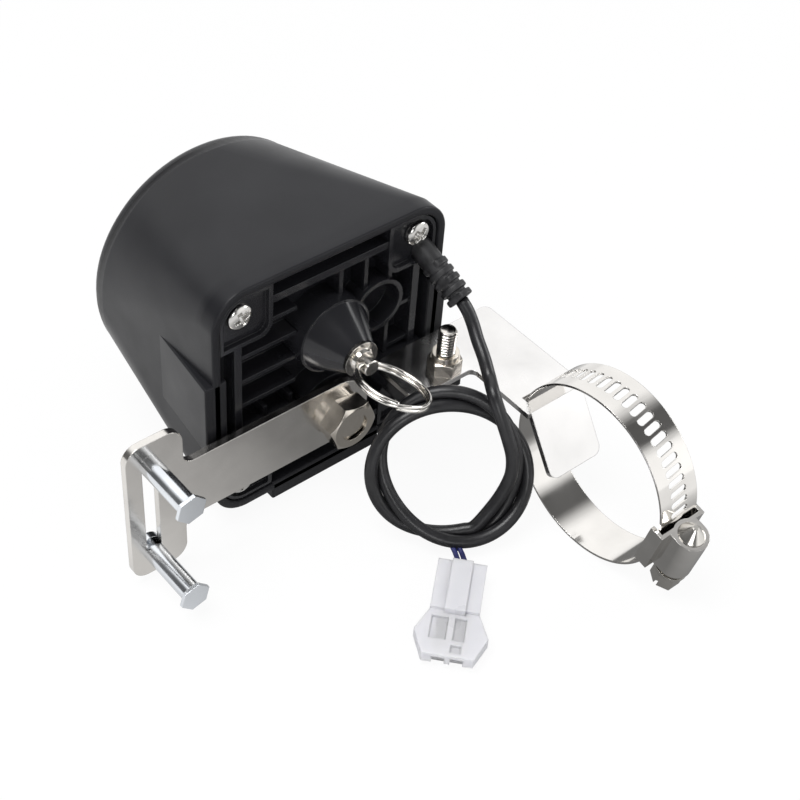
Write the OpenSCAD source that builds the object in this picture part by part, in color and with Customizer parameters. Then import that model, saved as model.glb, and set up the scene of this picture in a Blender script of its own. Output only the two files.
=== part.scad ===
// Motorised quarter-turn valve actuator.
// X runs along the pipe, Y along the valve stem into the housing, Z is up.
// The origin is the centre of the hose clamp, where the pipe axis passes.

/* [Stem and pipe] */
// Distance along the pipe from the clamp to the valve stem
stem_offset = 43.5; // [38:0.5:60]
// Height of the housing centre above the pipe axis
housing_z = 15; // [13:0.5:17]
// Distance from the pipe axis to the open face of the housing
rim_y = 59; // [56:0.5:64]

/* [Housing] */
// Width of the housing at its open face
housing_w = 72; // [70:1:90]
// Height of the housing at its open face
housing_h = 74; // [73:1:92]
// Depth of the housing from the open face to the closed end
housing_d = 58; // [56:0.5:72]
// Diameter of the round closed end
end_dia = 70; // [67:1:90]
// Corner radius of the open face
corner_r = 10; // [8:0.5:12]
// Wall at the open face
wall = 2.4; // [1.8:0.1:3]
// Step of the flank panels at the open face
flank_step = 2.4; // [1:0.1:3]
// Height of the flank panels
flank_h = 22; // [16:1:30]
// Step of the foot under the housing
foot_step = 3.4; // [2:0.1:5]
// Width of the foot
foot_w = 36; // [28:1:44]

/* [Base plate] */
// Depth of the base floor behind the open face
floor_depth = 7; // [6:0.5:9]
// Thickness of the base floor
floor_t = 2.5; // [2:0.1:4]
// Gap around the base plate inside the rim
base_gap = 0.3; // [0.2:0.05:0.5]
// Pitch of the stiffening ribs
rib_pitch = 8; // [6:0.5:10]
// Thickness of the stiffening ribs
rib_t = 1.2; // [0.8:0.1:2]
// Inset of the housing screws from the outside of the rim
screw_inset = 8.6; // [8.2:0.1:9.5]
// Shank diameter of the housing screws
housing_screw_d = 3.5; // [3:0.1:4]

/* [Lever arm] */
// Thickness of the lever plate
arm_t = 2; // [1.5:0.1:3]
// Width of the lever arm
arm_w = 19.5; // [16:0.5:22]
// Gap between the housing face and the lever plate
arm_gap = 1.8; // [1.5:0.1:4]
// Distance from the stem to the slot of the drive pins
slot_reach = 57.3; // [52:0.5:66]
// Height of the lever head
head_h = 45.5; // [42:0.5:54]
// Width of the lever head
head_w = 16; // [14:0.5:20]
// Width of the slot
slot_w = 4.2; // [3.8:0.1:5]
// Distance between the two drive pins
pin_spacing = 31.7; // [24:0.1:32]
// Body diameter of the drive pins
pin_d = 5.4; // [4.5:0.1:6.5]
// Length of the drive pins in front of the lever
pin_len = 18; // [14:0.5:30]
// Width across the flats of the drive pin head
pin_head_af = 7.2; // [6.5:0.1:9]

/* [Output shaft] */
// Diameter of the shaft in its bearing
shaft_d = 10; // [9:0.5:11]
// Diameter of the threaded end
thread_d = 8; // [7:0.5:8]
// Thickness across the two flats of the threaded end
flats_t = 6; // [5:0.1:6.5]
// Turn of the flats from the lever direction
flats_turn = 18; // [0:1:45]
// Width across the flats of the lever nut
nut_af = 13; // [12:0.5:14]
// Thickness of the lever nut
nut_t = 5.6; // [4:0.1:6.8]

/* [Manual release] */
// Diameter of the release pin
release_d = 4.5; // [3.8:0.1:4.6]
// Height of the release cone in front of the housing face
cone_h = 11; // [8:0.5:13]
// Outside diameter of the split ring
ring_d = 20.5; // [18:0.5:26]
// Wire diameter of the split ring
ring_wire = 1.1; // [0.8:0.1:1.4]
// Lean of the split ring about the release pin
ring_lean = 27; // [0:1:60]

/* [Bracket] */
// Thickness of the bracket plate
bracket_t = 1.6; // [1.5:0.1:3]
// Height of the bracket's top face above the pipe axis
bracket_z = 8; // [6:0.5:10]
// Width of the bracket leg
leg_w = 20; // [16:0.5:24]
// Length of the tab beside the leg
tab_len = 20; // [18:0.5:22]
// Width of the tab
tab_w = 17; // [15:0.5:18]
// Length of the saddle wing
wing_len = 19.5; // [14:0.5:24]
// Slope of the saddle wing below the plate
wing_angle = 56; // [40:1:70]
// Diameter of the bracket bolt
bolt_d = 5; // [4:0.5:6]
// Length of the bracket bolt's shank
bolt_len = 19; // [18:0.2:26]

/* [Hose clamp] */
// Inside diameter of the clamp band
clamp_bore = 49.6; // [40:0.2:51]
// Width of the clamp band
band_w = 12.7; // [9:0.1:12.8]
// Thickness of the clamp band
band_t = 0.6; // [0.5:0.1:0.8]
// Length of the band's worm slots
worm_slot_len = 5.6; // [4:0.1:7]
// Angle of the worm housing round the band
worm_angle = 192; // [190:1:230]

/* [Cable] */
// Diameter of the cable sheath
cable_d = 3.5; // [3:0.1:4]
// Radius of the cable coil at the middle of its turns
coil_r = 19; // [18:0.5:20]

/* [Hidden] */
$fn = 48;

// Fits
run_gap = 0.05;
seat_gap = 0.02;
face_gap = 0.2;
eps = 0.1;

// Stem, housing and base
stem_x = -stem_offset;
land_d = 5;
end_y = rim_y + housing_d;
end_edge = 1.5;
base_front = rim_y + 1;
floor_y = rim_y + floor_depth;
floor_back = floor_y + floor_t;
ledge_y = floor_back + 1;
ledge_w = 2;
base_wall = 2.2;
channel_w = 4.2;
channel_y = base_front + 4.6;
corner_pad = 19;
cup_at = [15.5, 25.5];
cup_r = 8;
base_w = housing_w - 2 * (wall + base_gap);
base_h = housing_h - 2 * (wall + base_gap);
base_r = corner_r - wall - base_gap;
screw_x = housing_w / 2 - screw_inset;
screw_z = housing_h / 2 - screw_inset;
screw_head_d = 7;
screw_head_h = 2.4;
pad_y = rim_y + 2;
boss_r = 3.7;
boss_back = ledge_y + 9;
flank_len = 29;
foot_len = 33;

// Gear train: modules, teeth and layers along the stem
coarse = 0.8;
fine = 0.5;
output_teeth = 40;
clutch_teeth = 22;
drive_teeth = 36;
idler_small_teeth = 12;
idler_big_teeth = 40;
motor_teeth = 10;
release_z = coarse * (output_teeth + clutch_teeth) / 2;
mesh_y = floor_back + 2.5;
mesh_t = 5;
drive_y = mesh_y + mesh_t + 1.5;
drive_t = 3;
fast_y = drive_y + drive_t + 1.5;
fast_t = 2.5;
plate_y = fast_y + fast_t + 1.5;
plate_t = 2;
plate_back = plate_y + plate_t;
idler_x = stem_x + coarse * (drive_teeth + idler_small_teeth) / 2;
idler_z = release_z;
motor_x = idler_x;
motor_z = idler_z - fine * (idler_big_teeth + motor_teeth) / 2;
motor_d = 20;
gearhead_len = 8;
motor_len = 15;
motor_back = plate_back + gearhead_len + motor_len;
motor_shaft_d = 2.5;
axle_d = 3;
post_r = 3;
post_at = [[-23.5, 19], [-23.5, -19], [22, -21], [8, 28.3]];
spacer_at = [[-16, 17.5], [-16, -14], [2, -27]];
board_y = plate_back + 10;
board_t = 1.6;

// Release pin, cone and clutch
cone_y = rim_y - cone_h;
cone_tip_r = 4.8;
cone_base_r = 10.8;
cone_foot_y = rim_y - 1.5;
spring_wire = 0.8;
spring_r = 2.85;
flange_r = 4.5;
flange_t = 1;
washer_r = 5;
washer_t = 1;
hub_r = 3.3;
hub_t = 1;
pin_tip_y = cone_y - 5.2;
pin_edge = 0.25;
eye_y = cone_y - 3.4;
eye_r = 1.15;
pin_back = plate_back + 6;
dog_af = 9;
dog_gap = 0.15;
dog_len = 3;
clip_y = mesh_y + mesh_t + dog_len + 0.1;
clip_t = 0.5;
clip_r = 3.4;

// Lever arm, nut and pins
arm_back = rim_y - arm_gap;
arm_front = arm_back - arm_t;
washer_spring_t = 1.6;
nut_back = arm_front - washer_spring_t;
nut_front = nut_back - nut_t;
nut_turn = -9;
slot_x = stem_x - slot_reach;
head_x = slot_x + 1.6;
head_r = 4.5;
notch_r = 3;
slot_half = head_h / 2 - 6.35;
pin_bore_r = 1.75;
pin_head_t = 1;
pin_screw_head_r = 3.4;
pin_screw_head_t = 2;

// Output shaft bearing
bush_r = shaft_d / 2 + 1.5;
boss_front = rim_y + 0.3;
output_boss_r = bush_r + 3;
seal_y = boss_front + 1.1;
seal_wire = 0.65;
journal_r = 4;

// Bracket, bolt and clamp
leg_half = leg_w / 2;
leg_back = rim_y - 1;
tab_front = leg_back - tab_w;
leg_end = 19.5;
plate_low = bracket_z - bracket_t;
bolt_x = -leg_half - 6;
bolt_y = tab_front + 4.6;
shelf_t = 4;
shelf_low = plate_low - shelf_t;
bolt_nut_af = 8;
bolt_nut_t = 4;
collar_r = 3.6;
collar_t = 1.8;
bolt_head_t = 3.4;
band_r = clamp_bore / 2;
band_out = band_r + band_t;
band_slot_w = band_w + 1.4;
slot_front = sqrt(pow(band_r, 2) - pow(bracket_z, 2)) - 0.4;
slot_back = sqrt(pow(band_out, 2) - pow(plate_low, 2)) + 0.4;
worm_slot_t = 1.9;
worm_slot_step = 6.6;
worm_slots = 21;
worm_r = 3.5;
worm_axis_r = band_out + 0.5 + worm_r;
worm_len = 16;
hood_r = worm_r + 1.2;
hood_len = 13.5;
hood_w = band_w + 2.6;
hex_len = 6;
hex_af = 7;

// Foot of the housing and floor of the standing part
ground_z = housing_z - housing_h / 2 - foot_step;

// Cable
cable_r = cable_d / 2;
coil_tube_r = 3.7;
coil_at = [-29.3, 25.4, -5.1];
coil_tilt = 60;
coil_turn = -32;
boot_r = 3.2;
boot_root = [-13.8, 63, 38];
boot_tip = [-11.5, 46.5, 28.4];
lead_points = [[-11.5, 46.5, 28.4], [-11.2, 44, 26.2], [-11.5, 41.4, 23.8], [-12.6, 38, 21.4], [-13.8, 34, 19.2],
    [-15.2, 30, 16.4], [-18.1, 24.7, 15.3], [-18.4, 20.6, 10.2], [-18.1, 17.6, 4.9], [-17.9, 15.6, 0.2],
    [-18.7, 14.5, -4.6], [-21, 14.3, -9.4], [-24.1, 14.7, -14]];
wire_points = [[-35.2, 15.4, -21.6], [-36, 13, -21.8], [-37, 10.8, -21.9], [-38.4, 8.7, -21.9],
    [-40.4, 6.9, -21.9]];
plug_turn = 221.4;
plug_len = 29.6;
plug_rear_w = 12.6;
plug_wide_w = 18.6;
plug_nose_w = 12.9;
plug_t = 7;
plug_neck_at = 15.7;
plug_wide_at = 22.6;
shoulder_t = [0.9, 6.1];
wing_t = [1.9, 5.1];
ridge_w = 5.4;
plug_at = [-38.55, 8.55, ground_z];

// Helpers
module rod_y(x, z, y0, y1, r) translate([x, y0, z]) rotate([-90, 0, 0]) cylinder(r = r, h = y1 - y0);

module cone_y(x, z, y0, y1, r0, r1)
    translate([x, y0, z]) rotate([-90, 0, 0]) cylinder(r1 = r0, r2 = r1, h = y1 - y0);

// A flat outline drawn in X and Z, from y0 to y1
module slab_y(x, z, y0, y1) translate([x, y1, z]) rotate([90, 0, 0]) linear_extrude(y1 - y0) children();

module hex_2d(af) circle(r = af / sqrt(3), $fn = 6);

// A rounded rectangle of exact arcs
module rounded(w, h, r) {
    square([w - 2 * r, h], center = true);
    square([w, h - 2 * r], center = true);
    for (sx = [-1, 1], sz = [-1, 1]) translate([sx * (w / 2 - r), sz * (h / 2 - r)]) circle(r = r);
}

// Straight-flanked gear teeth: root, pitch and tip widths as shares of the pitch
function tooth(n, m, k, phase) = let (
    rp = n * m / 2, ra = rp + 0.9 * m, rr = rp - 1.15 * m, a = phase + k * 360 / n,
    wr = 0.29 * PI * m / rr * 180 / PI, wp = 0.21 * PI * m / rp * 180 / PI,
    wa = 0.11 * PI * m / ra * 180 / PI)
    [for (p = [[rr, -wr], [rp, -wp], [ra, -wa], [ra, wa], [rp, wp], [rr, wr]])
        [p[0] * cos(a + p[1]), p[0] * sin(a + p[1])]];

module gear_2d(n, m, phase) polygon([for (k = [0:n - 1]) each tooth(n, m, k, phase)]);

// A tube of round section along a list of points
function unit(v) = v / norm(v);
function heading(p, i) = unit(i == 0 ? p[1] - p[0] : i == len(p) - 1 ? p[i] - p[i - 1] : p[i + 1] - p[i - 1]);
function side(t) = unit(cross(t, abs(t[2]) < 0.9 ? [0, 0, 1] : [1, 0, 0]));
module tube(p, r, sides) {
    rings = len(p);
    points = [for (i = [0:rings - 1]) let (t = heading(p, i), u = side(t), v = cross(t, u))
        for (k = [0:sides - 1]) p[i] + r * (cos(360 * k / sides) * u + sin(360 * k / sides) * v)];
    walls = [for (i = [0:rings - 2], k = [0:sides - 1]) let (n = (k + 1) % sides)
        [i * sides + k, i * sides + n, (i + 1) * sides + n, (i + 1) * sides + k]];
    start = [for (k = [0:sides - 1]) sides - 1 - k];
    finish = [for (k = [0:sides - 1]) (rings - 1) * sides + k];
    polyhedron(points, concat([start], walls, [finish]), convexity = 6);
}

// Housing
module housing_outline(grow) rounded(housing_w + 2 * grow, housing_h + 2 * grow, corner_r + grow);

module housing_outer() hull() {
    slab_y(stem_x, housing_z, rim_y, rim_y + land_d) housing_outline(0);
    rod_y(stem_x, housing_z, end_y - 3, end_y - end_edge, end_dia / 2);
    rod_y(stem_x, housing_z, end_y - 1, end_y, end_dia / 2 - end_edge);
}

module housing_cavity() hull() {
    slab_y(stem_x, housing_z, ledge_y, ledge_y + 1) housing_outline(-wall - ledge_w);
    rod_y(stem_x, housing_z, end_y - wall - 1, end_y - wall, end_dia / 2 - wall);
}

// Flat panel on one flank, tapering into the side of the housing
module flank(s) translate([stem_x, 0, housing_z - flank_h / 2]) linear_extrude(flank_h)
    polygon([[s * (housing_w / 2 + flank_step), rim_y], [s * (end_dia / 2 + 0.4), rim_y + flank_len],
        [s * (housing_w / 2 - 4), rim_y + flank_len], [s * (housing_w / 2 - 4), rim_y]]);

module housing_shell() color([0.08, 0.08, 0.09]) difference() {
    union() {
        housing_outer();
        for (s = [-1, 1]) flank(s);
        translate([stem_x - foot_w / 2, rim_y, housing_z - housing_h / 2 - foot_step])
            cube([foot_w, foot_len, foot_step + 3]);
    }
    difference() {
        housing_cavity();
        for (sx = [-1, 1], sz = [-1, 1])
            rod_y(stem_x + sx * screw_x, housing_z + sz * screw_z, ledge_y - eps, boss_back, boss_r);
    }
    slab_y(stem_x, housing_z, rim_y - eps, ledge_y) housing_outline(-wall);
    for (sx = [-1, 1], sz = [-1, 1])
        rod_y(stem_x + sx * screw_x, housing_z + sz * screw_z, ledge_y - eps, boss_back - 1,
            housing_screw_d / 2 + seat_gap);
}

module base_outline(inset) rounded(base_w - 2 * inset, base_h - 2 * inset, max(base_r - inset, 1));

// Ribs across the floor of the base
module base_ribs() {
    for (k = [0:3]) translate([3 + k * rib_pitch, -base_h / 2]) square([rib_t, base_h]);
    for (k = [0:1]) translate([-12 - k * rib_pitch, -base_h / 2]) square([rib_t, base_h / 2 - 6]);
    for (k = [-3:3]) translate([-base_w / 2, k * rib_pitch - 2.5]) square([base_w / 2 - 10, rib_t]);
    for (k = [-2:2]) translate([19, k * 1.6 * rib_pitch - 7]) square([base_w / 2 - 19, rib_t]);
}

// Outline of the pads round the four housing screws
module corner_pads(size, r) for (sx = [-1, 1], sz = [-1, 1])
    translate([sx * screw_x, sz * screw_z]) rounded(size, size, r);

// Straight hole for the foot of the cable boot
module boot_bore() along(boot_root, boot_tip) cylinder(r = boot_r + seat_gap, h = 10);

module base_plate() color([0.06, 0.06, 0.07]) difference() {
    union() {
        slab_y(stem_x, housing_z, floor_y, floor_back) base_outline(0);
        slab_y(stem_x, housing_z, channel_y, floor_back) difference() {
            base_outline(0);
            base_outline(channel_w);
        }
        slab_y(stem_x, housing_z, base_front, floor_back) difference() {
            base_outline(channel_w);
            base_outline(channel_w + base_wall);
        }
        slab_y(stem_x, housing_z, base_front + 0.6, floor_back) intersection() {
            base_ribs();
            base_outline(channel_w);
        }
        slab_y(stem_x, housing_z, base_front - 0.4, floor_back) intersection() {
            corner_pads(corner_pad, 4);
            base_outline(0);
        }
        rod_y(stem_x, 0, boss_front, mesh_y - 0.5, output_boss_r);
        rod_y(stem_x + cup_at[0], cup_at[1], rim_y + 0.5, floor_back, cup_r);
        rod_y(idler_x, idler_z, floor_y, drive_y - face_gap, 4);
        for (p = post_at) rod_y(stem_x + p[0], housing_z + p[1], floor_y, plate_y, post_r);
        bracket_shelf();
        slab_y(stem_x, housing_z, boot_root[1] - 1, floor_back) intersection() {
            translate([boot_root[0] - stem_x, boot_root[2] - housing_z]) circle(r = 5.5);
            base_outline(0);
        }
    }
    slab_y(stem_x, housing_z, rim_y, pad_y) intersection() {
        corner_pads(corner_pad - 2.4, 3);
        base_outline(1);
    }
    for (sx = [-1, 1], sz = [-1, 1])
        rod_y(stem_x + sx * screw_x, housing_z + sz * screw_z, rim_y, floor_back + eps,
            housing_screw_d / 2 + 0.3);
    rod_y(stem_x + cup_at[0], cup_at[1], rim_y, floor_y - 1, cup_r - 1.2);
    rod_y(stem_x, 0, boss_front - eps, mesh_y, shaft_d / 2 + 0.6);
    rod_y(stem_x, 0, seal_y + seal_wire + 0.3, mesh_y, bush_r + seat_gap);
    rod_y(stem_x, 0, boss_front + 0.3, seal_y + seal_wire + 0.4, shaft_d / 2 + 0.1 + 2 * seal_wire + 0.1);
    rod_y(stem_x, release_z, rim_y, floor_y, cone_base_r + seat_gap);
    release_bores();
    rod_y(stem_x, release_z, floor_back - 4.2, floor_back + eps, flange_r + 0.5);
    rod_y(stem_x, release_z, floor_back - 2.9, floor_back + eps, coarse * clutch_teeth / 2 + coarse + 0.5);
    rod_y(idler_x, idler_z, floor_y + 0.5, drive_y, axle_d / 2 + seat_gap);
    for (p = post_at) rod_y(stem_x + p[0], housing_z + p[1], plate_y - 7, plate_y + eps, 1.5 + seat_gap);
    translate([bolt_x, bolt_y, shelf_low - eps]) cylinder(r = bolt_d / 2 + run_gap, h = shelf_t + 2 * eps);
    boot_bore();
    translate(boot_root) rotate([-90, 0, 0]) cylinder(r = 2, h = 10);
}

// Bore of the release pin, wider behind the tip for its spring
module release_bores() {
    rod_y(stem_x, release_z, cone_y - eps, floor_back, release_d / 2 + run_gap);
    rod_y(stem_x, release_z, cone_y + 2, floor_back, spring_r + spring_wire / 2 + 0.5);
    rod_y(stem_x, release_z, floor_back - 4.2, floor_y + eps, flange_r + 0.5);
}

// Hollow cone that stands on the base floor round the release pin
module release_cone() color([0.06, 0.06, 0.07]) difference() {
    union() {
        rod_y(stem_x, release_z, cone_foot_y, floor_y, cone_base_r);
        cone_y(stem_x, release_z, cone_y, cone_foot_y, cone_tip_r, cone_base_r - 0.5);
    }
    release_bores();
}

// Shelf of the base plate that carries the bracket tab
module bracket_shelf() translate([-leg_half - tab_len, tab_front + 1.5, shelf_low])
    cube([tab_len + leg_half - 12.5, floor_y - tab_front - 1.5, shelf_t]);

module base_seal() color([0.12, 0.12, 0.12]) slab_y(stem_x, housing_z, floor_back, ledge_y) difference() {
    base_outline(0.1);
    base_outline(1.5);
}

// One cross-recess pan head screw, pointing towards +Y from its seat
module pan_screw(d, head_d, head_h, len) rotate([-90, 0, 0]) difference() {
    union() {
        cylinder(r = d / 2, h = len);
        translate([0, 0, -head_h * 0.55]) cylinder(r = head_d / 2, h = head_h * 0.55);
        translate([0, 0, -head_h]) cylinder(r1 = head_d / 2 - 0.9, r2 = head_d / 2, h = head_h * 0.45);
    }
    for (a = [0, 90]) rotate([0, 0, a]) translate([-head_d * 0.28, -head_d * 0.07, -head_h - eps])
        cube([head_d * 0.56, head_d * 0.14, head_h * 0.6 + eps]);
}

module housing_screws() color([0.75, 0.75, 0.76])
    for (sx = [-1, 1], sz = [-1, 1]) translate([stem_x + sx * screw_x, pad_y, housing_z + sz * screw_z])
        pan_screw(housing_screw_d, screw_head_d, screw_head_h, boss_back - pad_y - 2);

// Manual release
module release_pin() color([0.8, 0.8, 0.8]) difference() {
    union() {
        rod_y(stem_x, release_z, pin_tip_y + pin_edge, pin_back, release_d / 2);
        cone_y(stem_x, release_z, pin_tip_y, pin_tip_y + pin_edge, release_d / 2 - pin_edge,
            release_d / 2);
        rod_y(stem_x, release_z, mesh_y - flange_t - 0.1, mesh_y - 0.1, flange_r);
    }
    translate([stem_x, eye_y, release_z]) rotate([0, 90 + ring_lean, 0])
        cylinder(r = eye_r, h = 2 * release_d, center = true);
}

module release_washer() color([0.85, 0.85, 0.85]) difference() {
    union() {
        rod_y(stem_x, release_z, cone_y - washer_t, cone_y, washer_r);
        cone_y(stem_x, release_z, cone_y - washer_t - hub_t, cone_y - washer_t, hub_r - 0.4, hub_r);
    }
    rod_y(stem_x, release_z, cone_y - washer_t - hub_t - eps, cone_y + eps,
        release_d / 2 + seat_gap);
}

module release_spring() color([0.6, 0.6, 0.6]) {
    y0 = cone_y + 2 + spring_wire / 2;
    y1 = mesh_y - flange_t - 0.1 - spring_wire / 2;
    turns = 6;
    steps = turns * 14;
    tube([for (i = [0:steps]) let (a = 360 * turns * i / steps)
        [stem_x + spring_r * cos(a), y0 + (y1 - y0) * i / steps, release_z + spring_r * sin(a)]],
        spring_wire / 2 - 0.02, 6);
}

module pin_clip() color([0.4, 0.4, 0.4]) difference() {
    rod_y(stem_x, release_z, clip_y, clip_y + clip_t, clip_r);
    rod_y(stem_x, release_z, mesh_y, plate_y, release_d / 2 + seat_gap);
    translate([stem_x - 1, mesh_y, release_z]) cube([2, plate_y - mesh_y, 5]);
}

module clutch_pinion() color([0.8, 0.72, 0.5]) difference() {
    union() {
        slab_y(stem_x, release_z, mesh_y, mesh_y + mesh_t)
            gear_2d(clutch_teeth, coarse, 270 - 180 / clutch_teeth);
        slab_y(stem_x, release_z, mesh_y + mesh_t, mesh_y + mesh_t + dog_len) hex_2d(dog_af);
    }
    rod_y(stem_x, release_z, mesh_y - eps, mesh_y + mesh_t + dog_len + eps, release_d / 2 + run_gap);
}

// Split ring of two close turns, lying out from the eye of the release pin
module split_ring() color([0.85, 0.85, 0.86]) {
    mean_r = ring_d / 2 - ring_wire / 2;
    translate([stem_x, eye_y, release_z]) rotate([0, ring_lean, 0]) translate([0, -mean_r, 0])
        for (s = [-1, 1]) translate([0, 0, s * ring_wire * 0.5]) rotate_extrude($fn = 96)
            translate([mean_r, 0]) circle(r = ring_wire / 2, $fn = 24);
}

// Gear train
module drive_gear() color([0.82, 0.75, 0.52]) difference() {
    union() {
        slab_y(stem_x, release_z, drive_y, drive_y + drive_t) gear_2d(drive_teeth, coarse, 0);
        rod_y(stem_x, release_z, drive_y, plate_y - face_gap, 6);
    }
    slab_y(stem_x, release_z, drive_y - eps, drive_y + 2.2) hex_2d(dog_af + 2 * dog_gap);
    rod_y(stem_x, release_z, drive_y, plate_y, release_d / 2 + run_gap);
}

module idler_gear() color([0.85, 0.85, 0.82]) difference() {
    union() {
        slab_y(idler_x, idler_z, drive_y, drive_y + drive_t)
            gear_2d(idler_small_teeth, coarse, 180 / idler_small_teeth);
        rod_y(idler_x, idler_z, drive_y + drive_t, fast_y, 3.8);
        slab_y(idler_x, idler_z, fast_y, fast_y + fast_t) gear_2d(idler_big_teeth, fine, 0);
        rod_y(idler_x, idler_z, fast_y + fast_t, plate_y - face_gap, 3);
    }
    rod_y(idler_x, idler_z, drive_y - eps, plate_y, axle_d / 2 + run_gap);
}

module idler_axle() color([0.7, 0.7, 0.7])
    rod_y(idler_x, idler_z, floor_y + 0.5, plate_back, axle_d / 2);

module gear_plate() color([0.7, 0.7, 0.7]) difference() {
    slab_y(stem_x, housing_z, plate_y, plate_back)
        polygon([[-27, -19], [-23, -23], [19, -26], [26, -21], [28.5, -12], [28.5, 12], [24, 19], [13, 29],
            [10, 31.5], [5, 31.5], [-24, 22.5], [-27, 19]]);
    rod_y(stem_x, 0, plate_y - eps, plate_back + eps, journal_r + run_gap);
    rod_y(stem_x, release_z, plate_y - eps, plate_back + eps, release_d / 2 + run_gap);
    rod_y(idler_x, idler_z, plate_y - eps, plate_back + eps, axle_d / 2 + seat_gap);
    rod_y(motor_x, motor_z, plate_y - eps, plate_back + eps, 3);
    for (s = [-1, 1]) rod_y(motor_x + s * 6.5, motor_z, plate_y - eps, plate_back + eps, 1 + seat_gap);
    for (p = post_at) rod_y(stem_x + p[0], housing_z + p[1], plate_y - eps, plate_back + eps, 1.5 + seat_gap);
    for (p = spacer_at)
        rod_y(stem_x + p[0], housing_z + p[1], plate_y - eps, plate_back + eps, 1.5 + seat_gap);
}

// One screw pointing towards -Y from its seat
module back_screw(d, head_r, head_h, len) rotate([90, 0, 0]) {
    cylinder(r = d / 2, h = len);
    translate([0, 0, -head_h]) cylinder(r = head_r, h = head_h);
}

module gear_plate_screws() color([0.6, 0.6, 0.6])
    for (p = post_at) translate([stem_x + p[0], plate_back, housing_z + p[1]]) back_screw(3, 2.75, 1.8, 8);

module motor_gearhead() color([0.75, 0.74, 0.7]) difference() {
    rod_y(motor_x, motor_z, plate_back, plate_back + gearhead_len, motor_d / 2);
    rod_y(motor_x, motor_z, plate_back - eps, plate_back + 3, motor_shaft_d / 2 + run_gap);
    for (s = [-1, 1]) rod_y(motor_x + s * 6.5, motor_z, plate_back - eps, plate_back + 3, 1 + seat_gap);
}

module motor_can() color([0.65, 0.66, 0.68]) union() {
    rod_y(motor_x, motor_z, plate_back + gearhead_len, motor_back, motor_d / 2);
    rod_y(motor_x, motor_z, motor_back, motor_back + 1, 4);
}

module motor_screws() color([0.6, 0.6, 0.6])
    for (s = [-1, 1]) translate([motor_x + s * 6.5, plate_y, motor_z]) rotate([-90, 0, 0]) {
        cylinder(r = 1, h = plate_t + 2.5);
        translate([0, 0, -1]) cylinder(r = 1.9, h = 1);
    }

module motor_shaft() color([0.7, 0.7, 0.7])
    rod_y(motor_x, motor_z, fast_y - 0.2, plate_back + 2.8, motor_shaft_d / 2);

module motor_pinion() color([0.8, 0.66, 0.3]) difference() {
    slab_y(motor_x, motor_z, fast_y, fast_y + fast_t) gear_2d(motor_teeth, fine, 90 - 180 / motor_teeth);
    rod_y(motor_x, motor_z, fast_y - eps, fast_y + fast_t + eps, motor_shaft_d / 2 + seat_gap);
}

// Output
module flats_2d(d, t) intersection() {
    circle(r = d / 2);
    rotate(flats_turn) square([2 * d, t], center = true);
}

module output_shaft() color([0.72, 0.72, 0.72]) {
    slab_y(stem_x, 0, nut_front + 0.7, arm_back) flats_2d(thread_d, flats_t);
    rod_y(stem_x, 0, arm_back, plate_y - 1, shaft_d / 2);
    rod_y(stem_x, 0, plate_y - 1, plate_back + 1, journal_r);
}

module shaft_bush() color([0.72, 0.55, 0.3]) difference() {
    rod_y(stem_x, 0, seal_y + seal_wire + 0.5, mesh_y - 0.5, bush_r);
    rod_y(stem_x, 0, rim_y, mesh_y, shaft_d / 2 + run_gap);
}

module shaft_seal() color([0.1, 0.1, 0.1]) translate([stem_x, seal_y, 0]) rotate([-90, 0, 0])
    rotate_extrude() translate([shaft_d / 2 + 0.1 + seal_wire, 0]) circle(r = seal_wire);

module output_gear() color([0.8, 0.7, 0.45]) difference() {
    union() {
        slab_y(stem_x, 0, mesh_y, mesh_y + mesh_t) gear_2d(output_teeth, coarse, 0);
        rod_y(stem_x, 0, mesh_y + mesh_t, drive_y, 8);
    }
    rod_y(stem_x, 0, mesh_y - eps, drive_y + eps, shaft_d / 2 + seat_gap);
}

// Cam with one raised quarter, read by the two limit switches
module limit_cam() color([0.9, 0.9, 0.9]) difference() {
    slab_y(stem_x, 0, fast_y - 0.5, fast_y + fast_t) union() {
        circle(r = 7.5);
        intersection() {
            circle(r = 9.3);
            rotate(225) square([14, 14]);
        }
    }
    rod_y(stem_x, 0, drive_y, plate_y, shaft_d / 2 + seat_gap);
}

module limit_switches() color([0.15, 0.15, 0.16])
    for (s = [-1, 1]) translate([stem_x + s * 10.2 - (s < 0 ? 6 : 0), fast_y - 0.5, -13]) difference() {
        union() {
            cube([6, plate_y - fast_y + 0.5, 12.8]);
            translate([s < 0 ? 6 : -0.4, 1, 8]) cube([0.4, 1.6, 2.4]);
        }
        for (z = [2.5, 10.3]) translate([3, -eps, z]) rotate([-90, 0, 0]) cylinder(r = 0.9, h = 10);
    }

// Control electronics behind the gear plate
module control_board() color([0.1, 0.35, 0.16]) difference() {
    slab_y(stem_x, housing_z, board_y, board_y + board_t)
        polygon([[-22, -18], [-10, -28], [5, -30], [5, 24], [-14, 24], [-22, 16]]);
    for (p = spacer_at)
        rod_y(stem_x + p[0], housing_z + p[1], board_y - eps, board_y + board_t + eps, 1.5 + seat_gap);
}

module board_spacers() color([0.8, 0.7, 0.4]) for (p = spacer_at) difference() {
    union() {
        slab_y(stem_x + p[0], housing_z + p[1], plate_back, board_y) hex_2d(5);
        rod_y(stem_x + p[0], housing_z + p[1], plate_y, plate_back, 1.5);
    }
    rod_y(stem_x + p[0], housing_z + p[1], board_y - 6, board_y + eps, 1.5 + seat_gap);
}

module board_screws() color([0.6, 0.6, 0.6])
    for (p = spacer_at) translate([stem_x + p[0], board_y + board_t, housing_z + p[1]])
        back_screw(3, 2.75, 1.8, 6);

module board_relays() color([0.1, 0.25, 0.55])
    for (k = [0, 1]) translate([stem_x - 10, board_y + board_t, housing_z - 13 + k * 16]) cube([12, 8, 13]);

// Lever
module fillet_2d(r) difference() {
    square(r);
    translate([r, r]) circle(r = r);
}

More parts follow.
